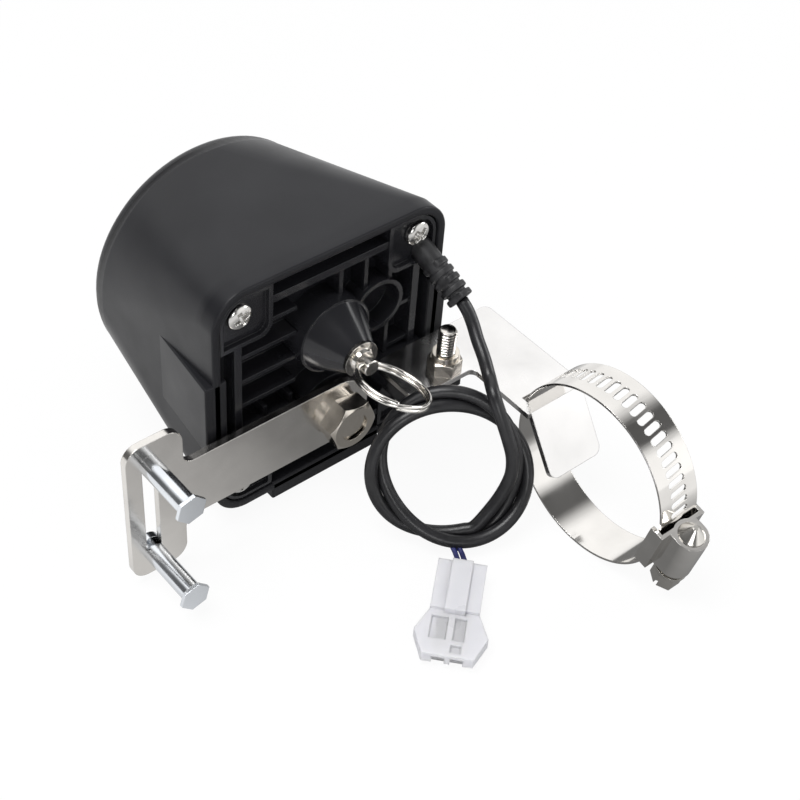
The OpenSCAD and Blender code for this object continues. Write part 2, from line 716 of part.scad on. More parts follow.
module arm_2d() {
    circle(r = arm_w / 2);
    translate([head_x - stem_x, -arm_w / 2]) square([stem_x - head_x, arm_w]);
    translate([head_x - stem_x, 0]) rounded(head_w, head_h, head_r);
    for (s = [0, 1]) mirror([0, s]) translate([head_x - stem_x + head_w / 2, arm_w / 2]) fillet_2d(notch_r);
}

module lever_arm() color([0.78, 0.76, 0.73]) slab_y(stem_x, 0, arm_front, arm_back) difference() {
    arm_2d();
    offset_flats();
    translate([slot_x - stem_x, 0]) {
        square([slot_w, 2 * slot_half], center = true);
        for (s = [-1, 1]) translate([0, s * slot_half]) circle(r = slot_w / 2);
    }
}

// Hole for the flatted shaft end, a little larger all round
module offset_flats() flats_2d(thread_d + 2 * seat_gap, flats_t + 2 * seat_gap);

module spring_washer() color([0.7, 0.68, 0.64]) difference() {
    rod_y(stem_x, 0, nut_back, arm_front, 6.7);
    rod_y(stem_x, 0, nut_back - eps, arm_front + eps, thread_d / 2 + 0.15);
    translate([stem_x, nut_back - eps, 0]) rotate([0, 35, 0]) translate([-0.35, 0, 0]) cube([0.7, 3, 9]);
}

module lever_nut() color([0.74, 0.72, 0.68]) difference() {
    intersection() {
        slab_y(stem_x, 0, nut_front, nut_back) rotate(nut_turn) hex_2d(nut_af);
        union() {
            cone_y(stem_x, 0, nut_front, nut_front + 1.2, nut_af / 2 - 0.3, nut_af / 2 + 1.5);
            rod_y(stem_x, 0, nut_front + 1.2, nut_back, nut_af / 2 + 1.5);
        }
    }
    rod_y(stem_x, 0, nut_front - eps, nut_back + eps, thread_d / 2 + seat_gap);
}

// Drive pin s = 1 above the arm and s = -1 below it
module drive_pin(s) color([0.8, 0.83, 0.87]) difference() {
    union() {
        rod_y(slot_x, s * pin_spacing / 2, arm_front - pin_len, arm_front, pin_d / 2);
        slab_y(slot_x, s * pin_spacing / 2, arm_front - pin_len, arm_front - pin_len + pin_head_t) rotate(15)
            hex_2d(pin_head_af);
    }
    rod_y(slot_x, s * pin_spacing / 2, arm_front - pin_len + 5, arm_front + eps, pin_bore_r);
}

module pin_screw(s) color([0.7, 0.7, 0.7]) translate([slot_x, arm_back, s * pin_spacing / 2])
    back_screw(2 * (pin_bore_r - seat_gap), pin_screw_head_r, pin_screw_head_t, arm_t + 10);

module upper_drive_pin() drive_pin(1);
module lower_drive_pin() drive_pin(-1);
module upper_pin_screw() pin_screw(1);
module lower_pin_screw() pin_screw(-1);

// Bracket
module bracket_2d() {
    difference() {
        union() {
            translate([-leg_half, leg_end]) square([leg_w, leg_back - leg_end]);
            translate([-leg_half - tab_len, tab_front]) square([tab_len + leg_half, tab_w]);
            translate([-leg_half, tab_front]) rotate(180) fillet_2d(2);
        }
        translate([leg_half, leg_back]) rotate(180) fillet_2d(2);
        for (k = [[tab_front, 0], [leg_back, -90]])
            translate([-leg_half - tab_len, k[0]]) rotate(k[1]) fillet_2d(3);
        translate([-band_slot_w / 2, slot_front]) square([band_slot_w, slot_back - slot_front]);
        translate([bolt_x, bolt_y]) circle(r = bolt_d / 2 + 0.25);
    }
}

module pipe_bracket() color([0.8, 0.79, 0.77]) {
    translate([0, 0, plate_low]) linear_extrude(bracket_t) bracket_2d();
    translate([0, leg_end, bracket_z]) rotate([wing_angle, 0, 0]) translate([0, -wing_len, -bracket_t])
        linear_extrude(bracket_t) difference() {
            translate([-9, 0]) square([18, wing_len]);
            for (s = [-1, 1]) translate([s * 9, 0]) rotate(s > 0 ? 90 : 0) fillet_2d(2.5);
        }
}

module bracket_bolt() color([0.76, 0.75, 0.72]) {
    translate([bolt_x, bolt_y, shelf_low]) cylinder(r = bolt_d / 2, h = bolt_len - 0.4);
    translate([bolt_x, bolt_y, shelf_low + bolt_len - 0.4])
        cylinder(r1 = bolt_d / 2, r2 = bolt_d / 2 - 0.4, h = 0.4);
    translate([bolt_x, bolt_y, shelf_low - bolt_head_t]) linear_extrude(bolt_head_t) hex_2d(bolt_nut_af);
}

module bracket_nut() color([0.78, 0.74, 0.68]) translate([bolt_x, bolt_y, bracket_z]) difference() {
    union() {
        intersection() {
            linear_extrude(bolt_nut_t) rotate(15) hex_2d(bolt_nut_af);
            union() {
                cylinder(r = 5, h = bolt_nut_t - 0.6);
                translate([0, 0, bolt_nut_t - 0.6]) cylinder(r1 = 5, r2 = bolt_nut_af / 2 - 0.1, h = 0.6);
            }
        }
        cylinder(r = collar_r, h = bolt_nut_t + collar_t);
    }
    translate([0, 0, -eps]) cylinder(r = bolt_d / 2 + seat_gap, h = bolt_nut_t + collar_t + 2 * eps);
}

// Clamp: everything is drawn round the pipe axis, with angles measured from +Y towards +Z
module at_angle(a) rotate([a, 0, 0]) children();

module band_ring(inner, outer, width) rotate([0, 90, 0]) difference() {
    cylinder(r = outer, h = width, center = true, $fn = 96);
    cylinder(r = inner, h = width + 1, center = true, $fn = 96);
}

// One round-ended slot that a worm thread runs in
module worm_slot() {
    cube([worm_slot_len - worm_slot_t, 4, worm_slot_t], center = true);
    for (s = [-1, 1]) translate([s * (worm_slot_len - worm_slot_t) / 2, 0, 0]) rotate([90, 0, 0])
        cylinder(r = worm_slot_t / 2, h = 4, center = true, $fn = 24);
}

module clamp_band() color([0.74, 0.73, 0.71]) difference() {
    band_ring(band_r, band_out, band_w);
    for (k = [0:worm_slots - 1]) at_angle(worm_angle - 22 - k * worm_slot_step)
        translate([0, band_r, 0]) rotate([0, 8, 0])
            worm_slot();
}

module worm_housing() color([0.76, 0.75, 0.74]) at_angle(worm_angle) difference() {
    union() {
        translate([0, worm_axis_r, 0]) cylinder(r = hood_r, h = hood_len, center = true);
        translate([-hood_r, band_out + 0.05, -hood_len / 2])
            cube([2 * hood_r, worm_axis_r - band_out - 0.05, hood_len]);
        translate([-hood_w / 2, band_out + 0.05, -hood_len / 2]) cube([hood_w, 1, hood_len]);
        for (s = [-1, 1]) translate([s * (hood_w / 2 - 0.5) - 0.5, band_r - 1.6, -hood_len / 2])
            cube([1, band_t + 2.6, hood_len]);
        translate([-hood_w / 2, band_r - 2.4, -hood_len / 2]) cube([hood_w, 1, hood_len]);
    }
    translate([0, worm_axis_r, 0]) cylinder(r = worm_r + run_gap, h = hood_len + 1, center = true);
    rotate([0, 90, 0]) cylinder(r = band_out + 0.05, h = band_w + 0.4, center = true, $fn = 96);
}

module worm_screw() color([0.7, 0.69, 0.67]) at_angle(worm_angle) translate([0, worm_axis_r, 0]) {
    translate([0, 0, -worm_len / 2 + 1]) cylinder(r = worm_r, h = worm_len - 1);
    translate([0, 0, -worm_len / 2 - 2]) cylinder(r1 = 0.8, r2 = worm_r, h = 3);
    translate([0, 0, worm_len / 2]) difference() {
        linear_extrude(hex_len) hex_2d(hex_af);
        translate([-hex_af, -0.5, hex_len - 2]) cube([2 * hex_af, 1, 3]);
    }
    translate([0, 0, worm_len / 2]) cylinder(r = hex_af / 2 + 0.9, h = 1);
}

// Cable, its boot and its connector
module along(from, to) {
    d = to - from;
    translate(from) rotate([0, acos(d[2] / norm(d)), atan2(d[1], d[0])]) children();
}

module cable_boot() color([0.09, 0.09, 0.1]) along(boot_root, boot_tip) {
    reach = norm(boot_tip - boot_root);
    cylinder(r = boot_r, h = 6);
    translate([0, 0, 6]) cylinder(r1 = boot_r, r2 = boot_r - 0.6, h = reach - 6);
    for (k = [0:4]) translate([0, 0, reach - 1.6 - 2.5 * k]) cylinder(r = 3.6, h = 1.6);
}

module cable_lead() color([0.05, 0.05, 0.06]) tube(lead_points, cable_r, 8);

module cable_coil() color([0.05, 0.05, 0.06]) translate(coil_at) rotate([0, 0, coil_turn])
    rotate([coil_tilt, 0, 0]) rotate_extrude() translate([coil_r, 0]) circle(r = coil_tube_r);

module in_plug() translate(plug_at) rotate([0, 0, plug_turn]) children();

// The two cores lie side by side across the plug
module core_wires() color([0.08, 0.1, 0.35]) for (s = [-1, 1])
    tube([for (p = wire_points) p + s * 0.9 * [-sin(plug_turn), cos(plug_turn), 0]], 0.7, 8);

// Outline of the winged plate, from the neck to the nose
module wings_2d() polygon([[plug_neck_at - 4, -plug_rear_w / 2], [plug_neck_at - 4, plug_rear_w / 2],
    [plug_neck_at, plug_rear_w / 2], [plug_wide_at, plug_wide_w / 2], [plug_len, plug_nose_w / 2],
    [plug_len, -plug_nose_w / 2], [plug_wide_at, -plug_wide_w / 2], [plug_neck_at, -plug_rear_w / 2]]);

module plug_block(x, y, z) translate([x[0], y[0], z[0]]) cube([x[1] - x[0], y[1] - y[0], z[1] - z[0]]);

module connector_body() color([0.92, 0.92, 0.9]) in_plug() difference() {
    union() {
        plug_block([0, plug_neck_at], [-plug_rear_w / 2, plug_rear_w / 2], shoulder_t);
        plug_block([0, plug_neck_at + 0.8], [-ridge_w / 2, ridge_w / 2], [0, plug_t]);
        plug_block([0, plug_len - 2.2], [-4.6, 4.6], [0, wing_t[1]]);
        translate([0, 0, wing_t[0]]) linear_extrude(wing_t[1] - wing_t[0]) wings_2d();
    }
    for (s = [-1, 1]) plug_block([3, plug_len], [s * 2.3 - 1.6, s * 2.3 + 1.6], [0.8, 4]);
    plug_block([-1, 4], [-2, 2], [2, 5]);
    plug_block([17.6, 24.6], [-5.4, -1.2], [4.3, plug_t]);
    plug_block([17.6, 24.6], [0.5, 3.4], [4.3, plug_t]);
    plug_block([26, 28.4], [0.4, 3], [4.3, plug_t]);
}

module connector_contacts() color([0.8, 0.75, 0.6]) in_plug() for (s = [-1, 1])
    plug_block([3, 22], [s * 2.3 - 1.1, s * 2.3 + 1.1], [0.8, 3.4]);

housing_shell();
base_plate();
base_seal();
housing_screws();
release_pin();
release_washer();
release_cone();
release_spring();
pin_clip();
clutch_pinion();
split_ring();
drive_gear();
idler_gear();
idler_axle();
gear_plate();
gear_plate_screws();
motor_can();
motor_gearhead();
motor_screws();
motor_shaft();
motor_pinion();
output_shaft();
shaft_bush();
shaft_seal();
output_gear();
limit_cam();
limit_switches();
control_board();
board_spacers();
board_screws();
board_relays();
lever_arm();
spring_washer();
lever_nut();
upper_drive_pin();
lower_drive_pin();
upper_pin_screw();
lower_pin_screw();
pipe_bracket();
bracket_bolt();
bracket_nut();
clamp_band();
worm_housing();
worm_screw();
cable_boot();
cable_lead();
cable_coil();
core_wires();
connector_body();
connector_contacts();
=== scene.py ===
import math

import bmesh
import bpy
import numpy as np
from mathutils import Matrix, Vector


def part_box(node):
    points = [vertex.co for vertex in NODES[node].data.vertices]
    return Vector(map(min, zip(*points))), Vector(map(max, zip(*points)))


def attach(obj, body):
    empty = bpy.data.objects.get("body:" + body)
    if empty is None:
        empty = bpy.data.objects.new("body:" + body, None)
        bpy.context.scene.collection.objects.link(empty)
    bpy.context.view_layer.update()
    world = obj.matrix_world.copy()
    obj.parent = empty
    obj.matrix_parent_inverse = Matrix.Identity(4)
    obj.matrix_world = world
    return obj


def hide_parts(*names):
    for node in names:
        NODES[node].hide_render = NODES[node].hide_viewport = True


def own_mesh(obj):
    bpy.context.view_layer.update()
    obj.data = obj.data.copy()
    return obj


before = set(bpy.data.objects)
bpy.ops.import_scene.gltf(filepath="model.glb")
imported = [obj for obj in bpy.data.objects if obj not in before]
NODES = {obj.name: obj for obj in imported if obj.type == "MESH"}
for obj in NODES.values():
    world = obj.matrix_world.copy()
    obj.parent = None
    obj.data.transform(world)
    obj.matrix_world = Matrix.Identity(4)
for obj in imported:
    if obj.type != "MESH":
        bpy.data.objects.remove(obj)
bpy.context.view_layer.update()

# ---------------------------------------------------------------------------
# Camera: a long lens, a little above the actuator and looking at its open face.
# The three directions are the camera's own right, down and forward.
# ---------------------------------------------------------------------------
CAMERA_PLACE = (-0.2345, -0.1727, 0.2936)
CAMERA_RIGHT = Vector((0.7689, -0.6365, 0.0613))
CAMERA_DOWN = Vector((-0.4104, -0.5648, -0.7159))
CAMERA_FORWARD = Vector((0.4903, 0.5253, -0.6955))
camera = bpy.data.objects.new("camera", bpy.data.cameras.new("camera"))
bpy.context.scene.collection.objects.link(camera)
turn = Matrix((CAMERA_RIGHT, -CAMERA_DOWN, -CAMERA_FORWARD)).transposed()
camera.matrix_world = Matrix.Translation(CAMERA_PLACE) @ turn.to_4x4()
camera.data.sensor_width = 36
camera.data.lens = 72.15
camera.data.clip_start = 0.01
camera.data.clip_end = 20
bpy.context.scene.camera = camera

# ---------------------------------------------------------------------------
# Cable: a two-core lead in a black sheath that leaves the boot, drops in front
# of the bracket and is wound into a loose ring of a little over two turns, whose
# strands wrap round each other.
# ---------------------------------------------------------------------------
CABLE_WIDTH = 0.0035
CABLE_STEP = 0.0011
CABLE_SIDES = 20
LEAD = [[-11.5, 46.5, 28.4], [-11.2, 44, 26.2], [-11.5, 41.4, 23.8], [-12.6, 38, 21.4], [-13.8, 34, 19.2],
        [-15.2, 30, 16.4], [-18.1, 24.7, 15.3], [-18.4, 20.6, 10.2], [-18.1, 17.6, 4.9], [-17.9, 15.6, 0.2],
        [-18.7, 14.5, -4.6], [-21, 14.3, -9.4], [-24.1, 14.7, -14]]
CUT_END = [[-31.5, 15.9, -22.6], [-33.5, 15.7, -22.2], [-34.9, 15.5, -21.8]]
RING_CENTRE = np.array([-29.3, 25.4, -5.1]) / 1000
RING_RADIUS = 0.019
RING_TILT = math.radians(60)
RING_TURN = math.radians(-32)
STRAND_OFFSET = 0.00203
RING_START = 290
RING_TURNS = 2.012
STRAND_START = 176.7
STRAND_TWIST = 600
STRAND_POINTS = 80


def ring_frame():
    """The ring's own right, up and facing directions: a flat ring tilted about X, then turned about Z."""
    c, s = math.cos(RING_TURN), math.sin(RING_TURN)
    ct, st = math.cos(RING_TILT), math.sin(RING_TILT)
    return np.array([[c, s, 0], [-s * ct, c * ct, st], [s * st, -c * st, ct]])


def wound_strand(count):
    """Points along the wound part. A point goes round the ring while its offset from the ring's
    line goes round that line, so that later turns lie beside the earlier ones."""
    t = np.linspace(0, RING_TURNS, count)
    around = np.radians(RING_START - 360 * t)
    offset = np.radians(STRAND_START + STRAND_TWIST * t)
    reach = RING_RADIUS + STRAND_OFFSET * np.cos(offset)
    flat = np.stack([reach * np.cos(around), reach * np.sin(around), STRAND_OFFSET * np.sin(offset)], 1)
    return RING_CENTRE + flat @ ring_frame()


def smooth_line(points, step):
    """A curve through the points and its length: Catmull-Rom with twelve places to a span, evened out
    so that its points lie about one step apart."""
    p = np.asarray(points, float)
    p = np.concatenate([2 * p[:1] - p[1:2], p, 2 * p[-1:] - p[-2:-1]])
    t = np.linspace(0, 1, 12, endpoint=False)[:, None]
    a, b, c, d = p[:-3, None], p[1:-2, None], p[2:-1, None], p[3:, None]
    curve = 0.5 * (2 * b + (c - a) * t + (2 * a - 5 * b + 4 * c - d) * t**2 + (3 * b - a - 3 * c + d) * t**3)
    curve = np.concatenate([curve.reshape(-1, 3), p[-2:-1]])
    length = np.concatenate([[0], np.cumsum(np.linalg.norm(np.diff(curve, axis=0), axis=1))])
    count = max(2, round(length[-1] / step) + 1)
    even = np.linspace(0, length[-1], count)
    return np.stack([np.interp(even, length, curve[:, k]) for k in range(3)], 1), float(length[-1])


def tube_grid(line, radius, sides):
    """Rings of points round a line. Each ring's axes are the last ring's, turned by the least that
    keeps them square to the line, so that the tube doesn't twist. The first may point anywhere."""
    ahead = np.gradient(line, axis=0)
    ahead /= np.linalg.norm(ahead, axis=1)[:, None]
    side = np.cross(ahead[0], [0.3, 0.2, 0.93])
    ring_sides = []
    for a in ahead:
        side = side - a * (side @ a)
        side = side / np.linalg.norm(side)
        ring_sides.append(side)
    u = np.array(ring_sides)
    v = np.cross(ahead, u)
    turn_by = np.linspace(0, 2 * math.pi, sides, endpoint=False)
    radius = np.broadcast_to(np.asarray(radius, float).T, (sides, len(line))).T
    round_it = np.cos(turn_by)[None, :, None] * u[:, None] + np.sin(turn_by)[None, :, None] * v[:, None]
    return line[:, None] + radius[:, :, None] * round_it


def surface_piece(name, grid, material):
    """A smooth mesh from a grid of points, rows by columns, whose columns close on themselves. A cap
    closes the first row and the last."""
    rows, columns = grid.shape[:2]
    index = np.arange(rows * columns).reshape(rows, columns)
    right = np.roll(index, -1, axis=1)
    quads = np.stack([index[:-1], right[:-1], right[1:], index[1:]], -1).reshape(-1, 4).tolist()
    quads += [index[0][::-1].tolist(), index[-1].tolist()]
    mesh = bpy.data.meshes.new(name)
    mesh.from_pydata(grid.reshape(-1, 3).tolist(), [], quads)
    mesh.polygons.foreach_set("use_smooth", np.ones(len(quads), bool))
    piece = bpy.data.objects.new(name, mesh)
    bpy.context.scene.collection.objects.link(piece)
    piece.data.materials.append(material)
    return piece


def shader(name, colour, roughness, metallic=0.0, **sockets):
    """A new material with one surface shader, whose constant sockets are set here."""
    material = bpy.data.materials.new(name)
    material.use_nodes = True
    surface = material.node_tree.nodes["Principled BSDF"]
    surface.inputs["Base Color"].default_value = (*colour, 1)
    surface.inputs["Roughness"].default_value = roughness
    surface.inputs["Metallic"].default_value = metallic
    for socket, value in sockets.items():
        surface.inputs[socket.replace("_", " ").title().replace("Ior", "IOR")].default_value = value
    return material


def node(material, kind, **sockets):
    """A new node in the material, with its named sockets set."""
    made = material.node_tree.nodes.new(kind)
    for socket, value in sockets.items():
        made.inputs[socket].default_value = value
    return made


def wire(material, source, target):
    """Joins one node's output to another's input."""
    material.node_tree.links.new(source, target)


def object_place(material, scale):
    """Object coordinates, stretched by the scale along X, Y and Z."""
    place = node(material, "ShaderNodeTexCoord")
    stretch = node(material, "ShaderNodeMapping", Scale=scale)
    wire(material, place.outputs["Object"], stretch.inputs["Vector"])
    return stretch.outputs["Vector"]


def uneven_gloss(material, place, scale, low, high):
    """Roughness that wanders between low and high with a noise pattern, which is given back."""
    noise = node(material, "ShaderNodeTexNoise", Scale=scale, Detail=4.0)
    spread = node(material, "ShaderNodeMapRange")
    spread.inputs["From Min"].default_value = 0.3
    spread.inputs["From Max"].default_value = 0.7
    spread.inputs["To Min"].default_value = low
    spread.inputs["To Max"].default_value = high
    wire(material, place, noise.inputs["Vector"])
    wire(material, noise.outputs["Fac"], spread.inputs["Value"])
    wire(material, spread.outputs["Result"], material.node_tree.nodes["Principled BSDF"].inputs["Roughness"])
    return noise.outputs["Fac"]


def uneven_colour(material, factor, dark, light):
    """Base colour that goes from dark to light with the factor."""
    ramp = node(material, "ShaderNodeValToRGB")
    ramp.color_ramp.elements[0].position = 0.3
    ramp.color_ramp.elements[1].position = 0.7
    ramp.color_ramp.elements[0].color = (*dark, 1)
    ramp.color_ramp.elements[1].color = (*light, 1)
    wire(material, factor, ramp.inputs["Fac"])
    wire(material, ramp.outputs["Color"], material.node_tree.nodes["Principled BSDF"].inputs["Base Color"])


def relief(material, height, strength, depth, soft_edge=0.0):
    """Bump from a height pattern, over edges that are rounded by the soft edge's radius."""
    bump = node(material, "ShaderNodeBump", Strength=strength, Distance=depth)
    wire(material, height, bump.inputs["Height"])
    if soft_edge:
        edge = node(material, "ShaderNodeBevel", Radius=soft_edge)
        edge.samples = 4
        wire(material, edge.outputs["Normal"], bump.inputs["Normal"])
    wire(material, bump.outputs["Normal"], material.node_tree.nodes["Principled BSDF"].inputs["Normal"])


def sheath_finish():
    """Soft black sheath: a fine grain in its skin, a faint dust and an uneven gloss."""
    material = shader("cable sheath", (0.011, 0.011, 0.012), 0.33, specular_ior_level=0.45)
    place = object_place(material, (1, 1, 1))
    fine = uneven_gloss(material, place, 900, 0.28, 0.42)
    cloud = node(material, "ShaderNodeTexNoise", Scale=160.0, Detail=3.0)
    wire(material, place, cloud.inputs["Vector"])
    uneven_colour(material, cloud.outputs["Fac"], (0.010, 0.010, 0.011), (0.018, 0.018, 0.020))
    relief(material, fine, 0.12, 0.0001)
    return material


lead_line = np.array(LEAD) / 1000
route = np.concatenate([lead_line, wound_strand(STRAND_POINTS), np.array(CUT_END) / 1000])
cable_line, cable_length = smooth_line(route, CABLE_STEP)
cable = surface_piece("cable", tube_grid(cable_line, CABLE_WIDTH / 2, CABLE_SIDES), sheath_finish())
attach(cable, "actuator")
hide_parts("cable_lead", "cable_coil")

# ---------------------------------------------------------------------------
# Housing: one moulding of black ABS with a satin, finely grained outside. It
# runs from a rounded square at its open face to a round closed end.
# ---------------------------------------------------------------------------
housing_low, housing_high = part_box("housing_shell")
HOUSING_MIDDLE = np.array([-0.0435, 0.015])
RIM_Y = housing_low.y
END_Y = housing_high.y
FACE_HALF = np.array([0.036, 0.037])
FACE_CORNER = 0.010
FACE_LAND = 0.005
END_RADIUS = 0.0346
END_FLAT = 0.0004
END_EDGE = 0.004
WALL = 0.0024
RIM_EDGE = 0.0005
CAP_RADIUS = 0.0015
END_RING = 0.006
LEDGE_Y = RIM_Y + 0.0105
LEDGE = 0.002
SIDE_POINTS = 20
CORNER_POINTS = 24


def housing_row(y, blend, inset):
    """One row round the housing: a rounded rectangle whose corner centres move in to the middle, and
    whose corner radius grows to the end's, as blend goes from 0 to 1. Inset pulls it in all round."""
    corner = (1 - blend) * FACE_CORNER + blend * END_RADIUS - inset
    reach = (1 - blend) * (FACE_HALF - FACE_CORNER) + blend * END_FLAT
    parts = []
    for quarter, (sx, sz) in enumerate(((1, 1), (-1, 1), (-1, -1), (1, -1))):
        angle = np.radians(90 * quarter) + np.linspace(0, math.pi / 2, CORNER_POINTS)
        arc = np.stack([sx * reach[0] + corner * np.cos(angle), sz * reach[1] + corner * np.sin(angle)], 1)
        parts.append(arc)
    outline = []
    for arc, following in zip(parts, parts[1:] + parts[:1]):
        step = np.linspace(0, 1, SIDE_POINTS + 2)[1:-1, None]
        outline += [arc, arc[-1] + step * (following[0] - arc[-1])]
    flat = np.concatenate(outline) + HOUSING_MIDDLE
    return np.stack([flat[:, 0], np.full(len(flat), y), flat[:, 1]], 1)


def quarter_round(count):
    """Cosines and sines of a quarter turn, for an edge's rounding."""
    a = np.linspace(0, math.pi / 2, count)
    return np.cos(a), np.sin(a)


def housing_rows():
    """Rows of the whole wall in order: inner end, inner side, ledge, rim, outer side, outer end. Extra
    rows close to an edge keep the flat on either side of it flat."""
    taper_start, taper_end = RIM_Y + FACE_LAND, END_Y - END_EDGE
    floor_y = END_Y - WALL
    rows = [housing_row(floor_y, 1, END_RADIUS - CAP_RADIUS)]
    rows += [housing_row(floor_y, 1, END_RADIUS - r) for r in np.linspace(END_RING, END_RADIUS - WALL, 5)]
    for blend in np.linspace(1, 0, 14)[1:]:
        rows.append(housing_row(LEDGE_Y + blend * (floor_y - LEDGE_Y), blend, WALL + (1 - blend) * LEDGE))
    rows += [housing_row(LEDGE_Y, 0, WALL), housing_row(LEDGE_Y - 0.0004, 0, WALL)]
    rows += [housing_row(RIM_Y + 0.004, 0, WALL), housing_row(RIM_Y + 0.001, 0, WALL)]
    cos, sin = quarter_round(6)
    rows += [housing_row(RIM_Y + RIM_EDGE * (1 - s), 0, WALL - RIM_EDGE * (1 - c)) for c, s in zip(cos, sin)]
    rows += [housing_row(RIM_Y + RIM_EDGE * (1 - c), 0, RIM_EDGE * (1 - s)) for c, s in zip(cos, sin)]
    rows += [housing_row(RIM_Y + 0.002, 0, 0), housing_row(taper_start - 0.0006, 0, 0)]
    for blend in np.linspace(0, 1, 22):
        rows.append(housing_row(taper_start + blend * (taper_end - taper_start), blend, 0))
    rows += [housing_row(taper_end + END_EDGE * s, 1, END_EDGE * (1 - c)) for c, s in zip(*quarter_round(8))]
    rows += [housing_row(END_Y, 1, END_RADIUS - r) for r in np.linspace(END_RADIUS - END_RING, CAP_RADIUS, 6)]
    return np.array(rows)


def moulded_finish(name, gloss, grain, sheen):
    """Black moulded plastic: a fine grain in the skin, slow changes of gloss and faint handling marks."""
    material = shader(name, (0.012, 0.012, 0.014), gloss, specular_ior_level=sheen)
    place = object_place(material, (1, 1, 1))
    uneven_gloss(material, place, 70, gloss - 0.04, gloss + 0.07)
    cloud = node(material, "ShaderNodeTexNoise", Scale=45.0, Detail=4.0)
    wire(material, place, cloud.inputs["Vector"])
    uneven_colour(material, cloud.outputs["Fac"], (0.0105, 0.0106, 0.0125), (0.0155, 0.0157, 0.018))
    skin = node(material, "ShaderNodeTexNoise", Scale=2600.0, Detail=2.0)
    wire(material, place, skin.inputs["Vector"])
    relief(material, skin.outputs["Fac"], grain, 0.00006, soft_edge=0.0003)
    return material


housing_black = moulded_finish("satin black housing", 0.33, 0.18, 0.19)
housing = surface_piece("housing", housing_rows(), housing_black)
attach(housing, "actuator")
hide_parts("housing_shell")

# ---------------------------------------------------------------------------
# Flank panels and foot: flat pads moulded on the sides and under the housing,
# which let it sit square while the two halves are screwed together.
# ---------------------------------------------------------------------------
FLANK_STEP = 0.0024
FLANK_LENGTH = 0.029
FLANK_HALF = 0.011
FLANK_ROOT = 0.004
FLANK_BACK_STAND = 0.0004
FOOT_HALF = 0.018
FOOT_LENGTH = 0.033
FOOT_HEIGHT = 0.0064
PAD_EDGE = 0.0005


def prism_piece(name, outline, low, high, axis, material, edge):
    """A closed prism: a flat outline drawn in the two axes that aren't the named one, from low to high
    along it, with its edges rounded."""
    outline = np.asarray(outline, float)
    ends = [np.insert(outline, axis, level, axis=1) for level in (low, high)]
    count = len(outline)
    index = np.arange(count)
    following = np.roll(index, -1)
    walls = np.stack([index, following, following + count, index + count], 1).tolist()
    mesh = bpy.data.meshes.new(name)
    caps = [index[::-1].tolist(), (index + count).tolist()]
    mesh.from_pydata(np.concatenate(ends).tolist(), [], walls + caps)
    piece = bpy.data.objects.new(name, mesh)
    bpy.context.scene.collection.objects.link(piece)
    face_outwards(mesh)
    mesh.materials.append(material)
    rounding = piece.modifiers.new("edge", "BEVEL")
    rounding.width = edge
    rounding.segments = 3
    rounding.limit_method = "ANGLE"
    rounding.harden_normals = True
    mesh.polygons.foreach_set("use_smooth", np.ones(len(mesh.polygons), bool))
    return piece


def face_outwards(mesh):
    """Turns every face of a closed mesh to point out."""
    work = bmesh.new()
    work.from_mesh(mesh)
    bmesh.ops.recalc_face_normals(work, faces=work.faces)
    work.to_mesh(mesh)
    work.free()


for side, label in ((1, "right"), (-1, "left")):
    at = HOUSING_MIDDLE[0]
    outer = at + side * (FACE_HALF[0] + FLANK_STEP)
    root = at + side * (FACE_HALF[0] - FLANK_ROOT)
    back = at + side * (END_RADIUS + FLANK_BACK_STAND)
    outline = [[outer, RIM_Y], [back, RIM_Y + FLANK_LENGTH], [root, RIM_Y + FLANK_LENGTH], [root, RIM_Y]]
    flank = prism_piece(label + "_flank_panel", outline, HOUSING_MIDDLE[1] - FLANK_HALF,
                        HOUSING_MIDDLE[1] + FLANK_HALF, 2, housing_black, PAD_EDGE)
    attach(flank, "actuator")

foot_top = housing_low.z + FOOT_HEIGHT
foot_back = RIM_Y + FOOT_LENGTH
foot_outline = [[RIM_Y, housing_low.z], [foot_back, housing_low.z], [foot_back, foot_top], [RIM_Y, foot_top]]
foot = prism_piece("foot_panel", foot_outline, HOUSING_MIDDLE[0] - FOOT_HALF, HOUSING_MIDDLE[0] + FOOT_HALF,
                   0, housing_black, PAD_EDGE)
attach(foot, "actuator")

# ---------------------------------------------------------------------------
# Base plate: the ribbed floor of the housing with its bosses and release cone,
# moulded in a glossier black from a polished tool.
# ---------------------------------------------------------------------------


def finish_node(name, material):
    """Gives a node of the frame its finish."""
    slots = NODES[name].data.materials
    slots.clear()
    slots.append(material)


base_black = moulded_finish("gloss black base", 0.16, 0.05, 0.4)
finish_node("base_plate", base_black)
finish_node("release_cone", base_black)
finish_node("limit_switches", moulded_finish("matt black switch case", 0.5, 0.2, 0.4))

# ---------------------------------------------------------------------------
# Seals and boot: black nitrile and soft PVC, duller than the mouldings and
# with a bloom of fine dust.
# ---------------------------------------------------------------------------


def rubber_finish(name, gloss):
    """Soft black rubber with a bloom that lightens it in patches."""
    material = shader(name, (0.016, 0.016, 0.017), gloss)
    place = object_place(material, (1, 1, 1))
    bloom = uneven_gloss(material, place, 420, gloss - 0.06, gloss + 0.1)
    uneven_colour(material, bloom, (0.010, 0.010, 0.011), (0.022, 0.022, 0.024))
    relief(material, bloom, 0.2, 0.0001)
    return material


boot_black = rubber_finish("boot rubber", 0.45)
seal_black = rubber_finish("seal rubber", 0.6)
for name in ("base_seal", "shaft_seal"):
    finish_node(name, seal_black)

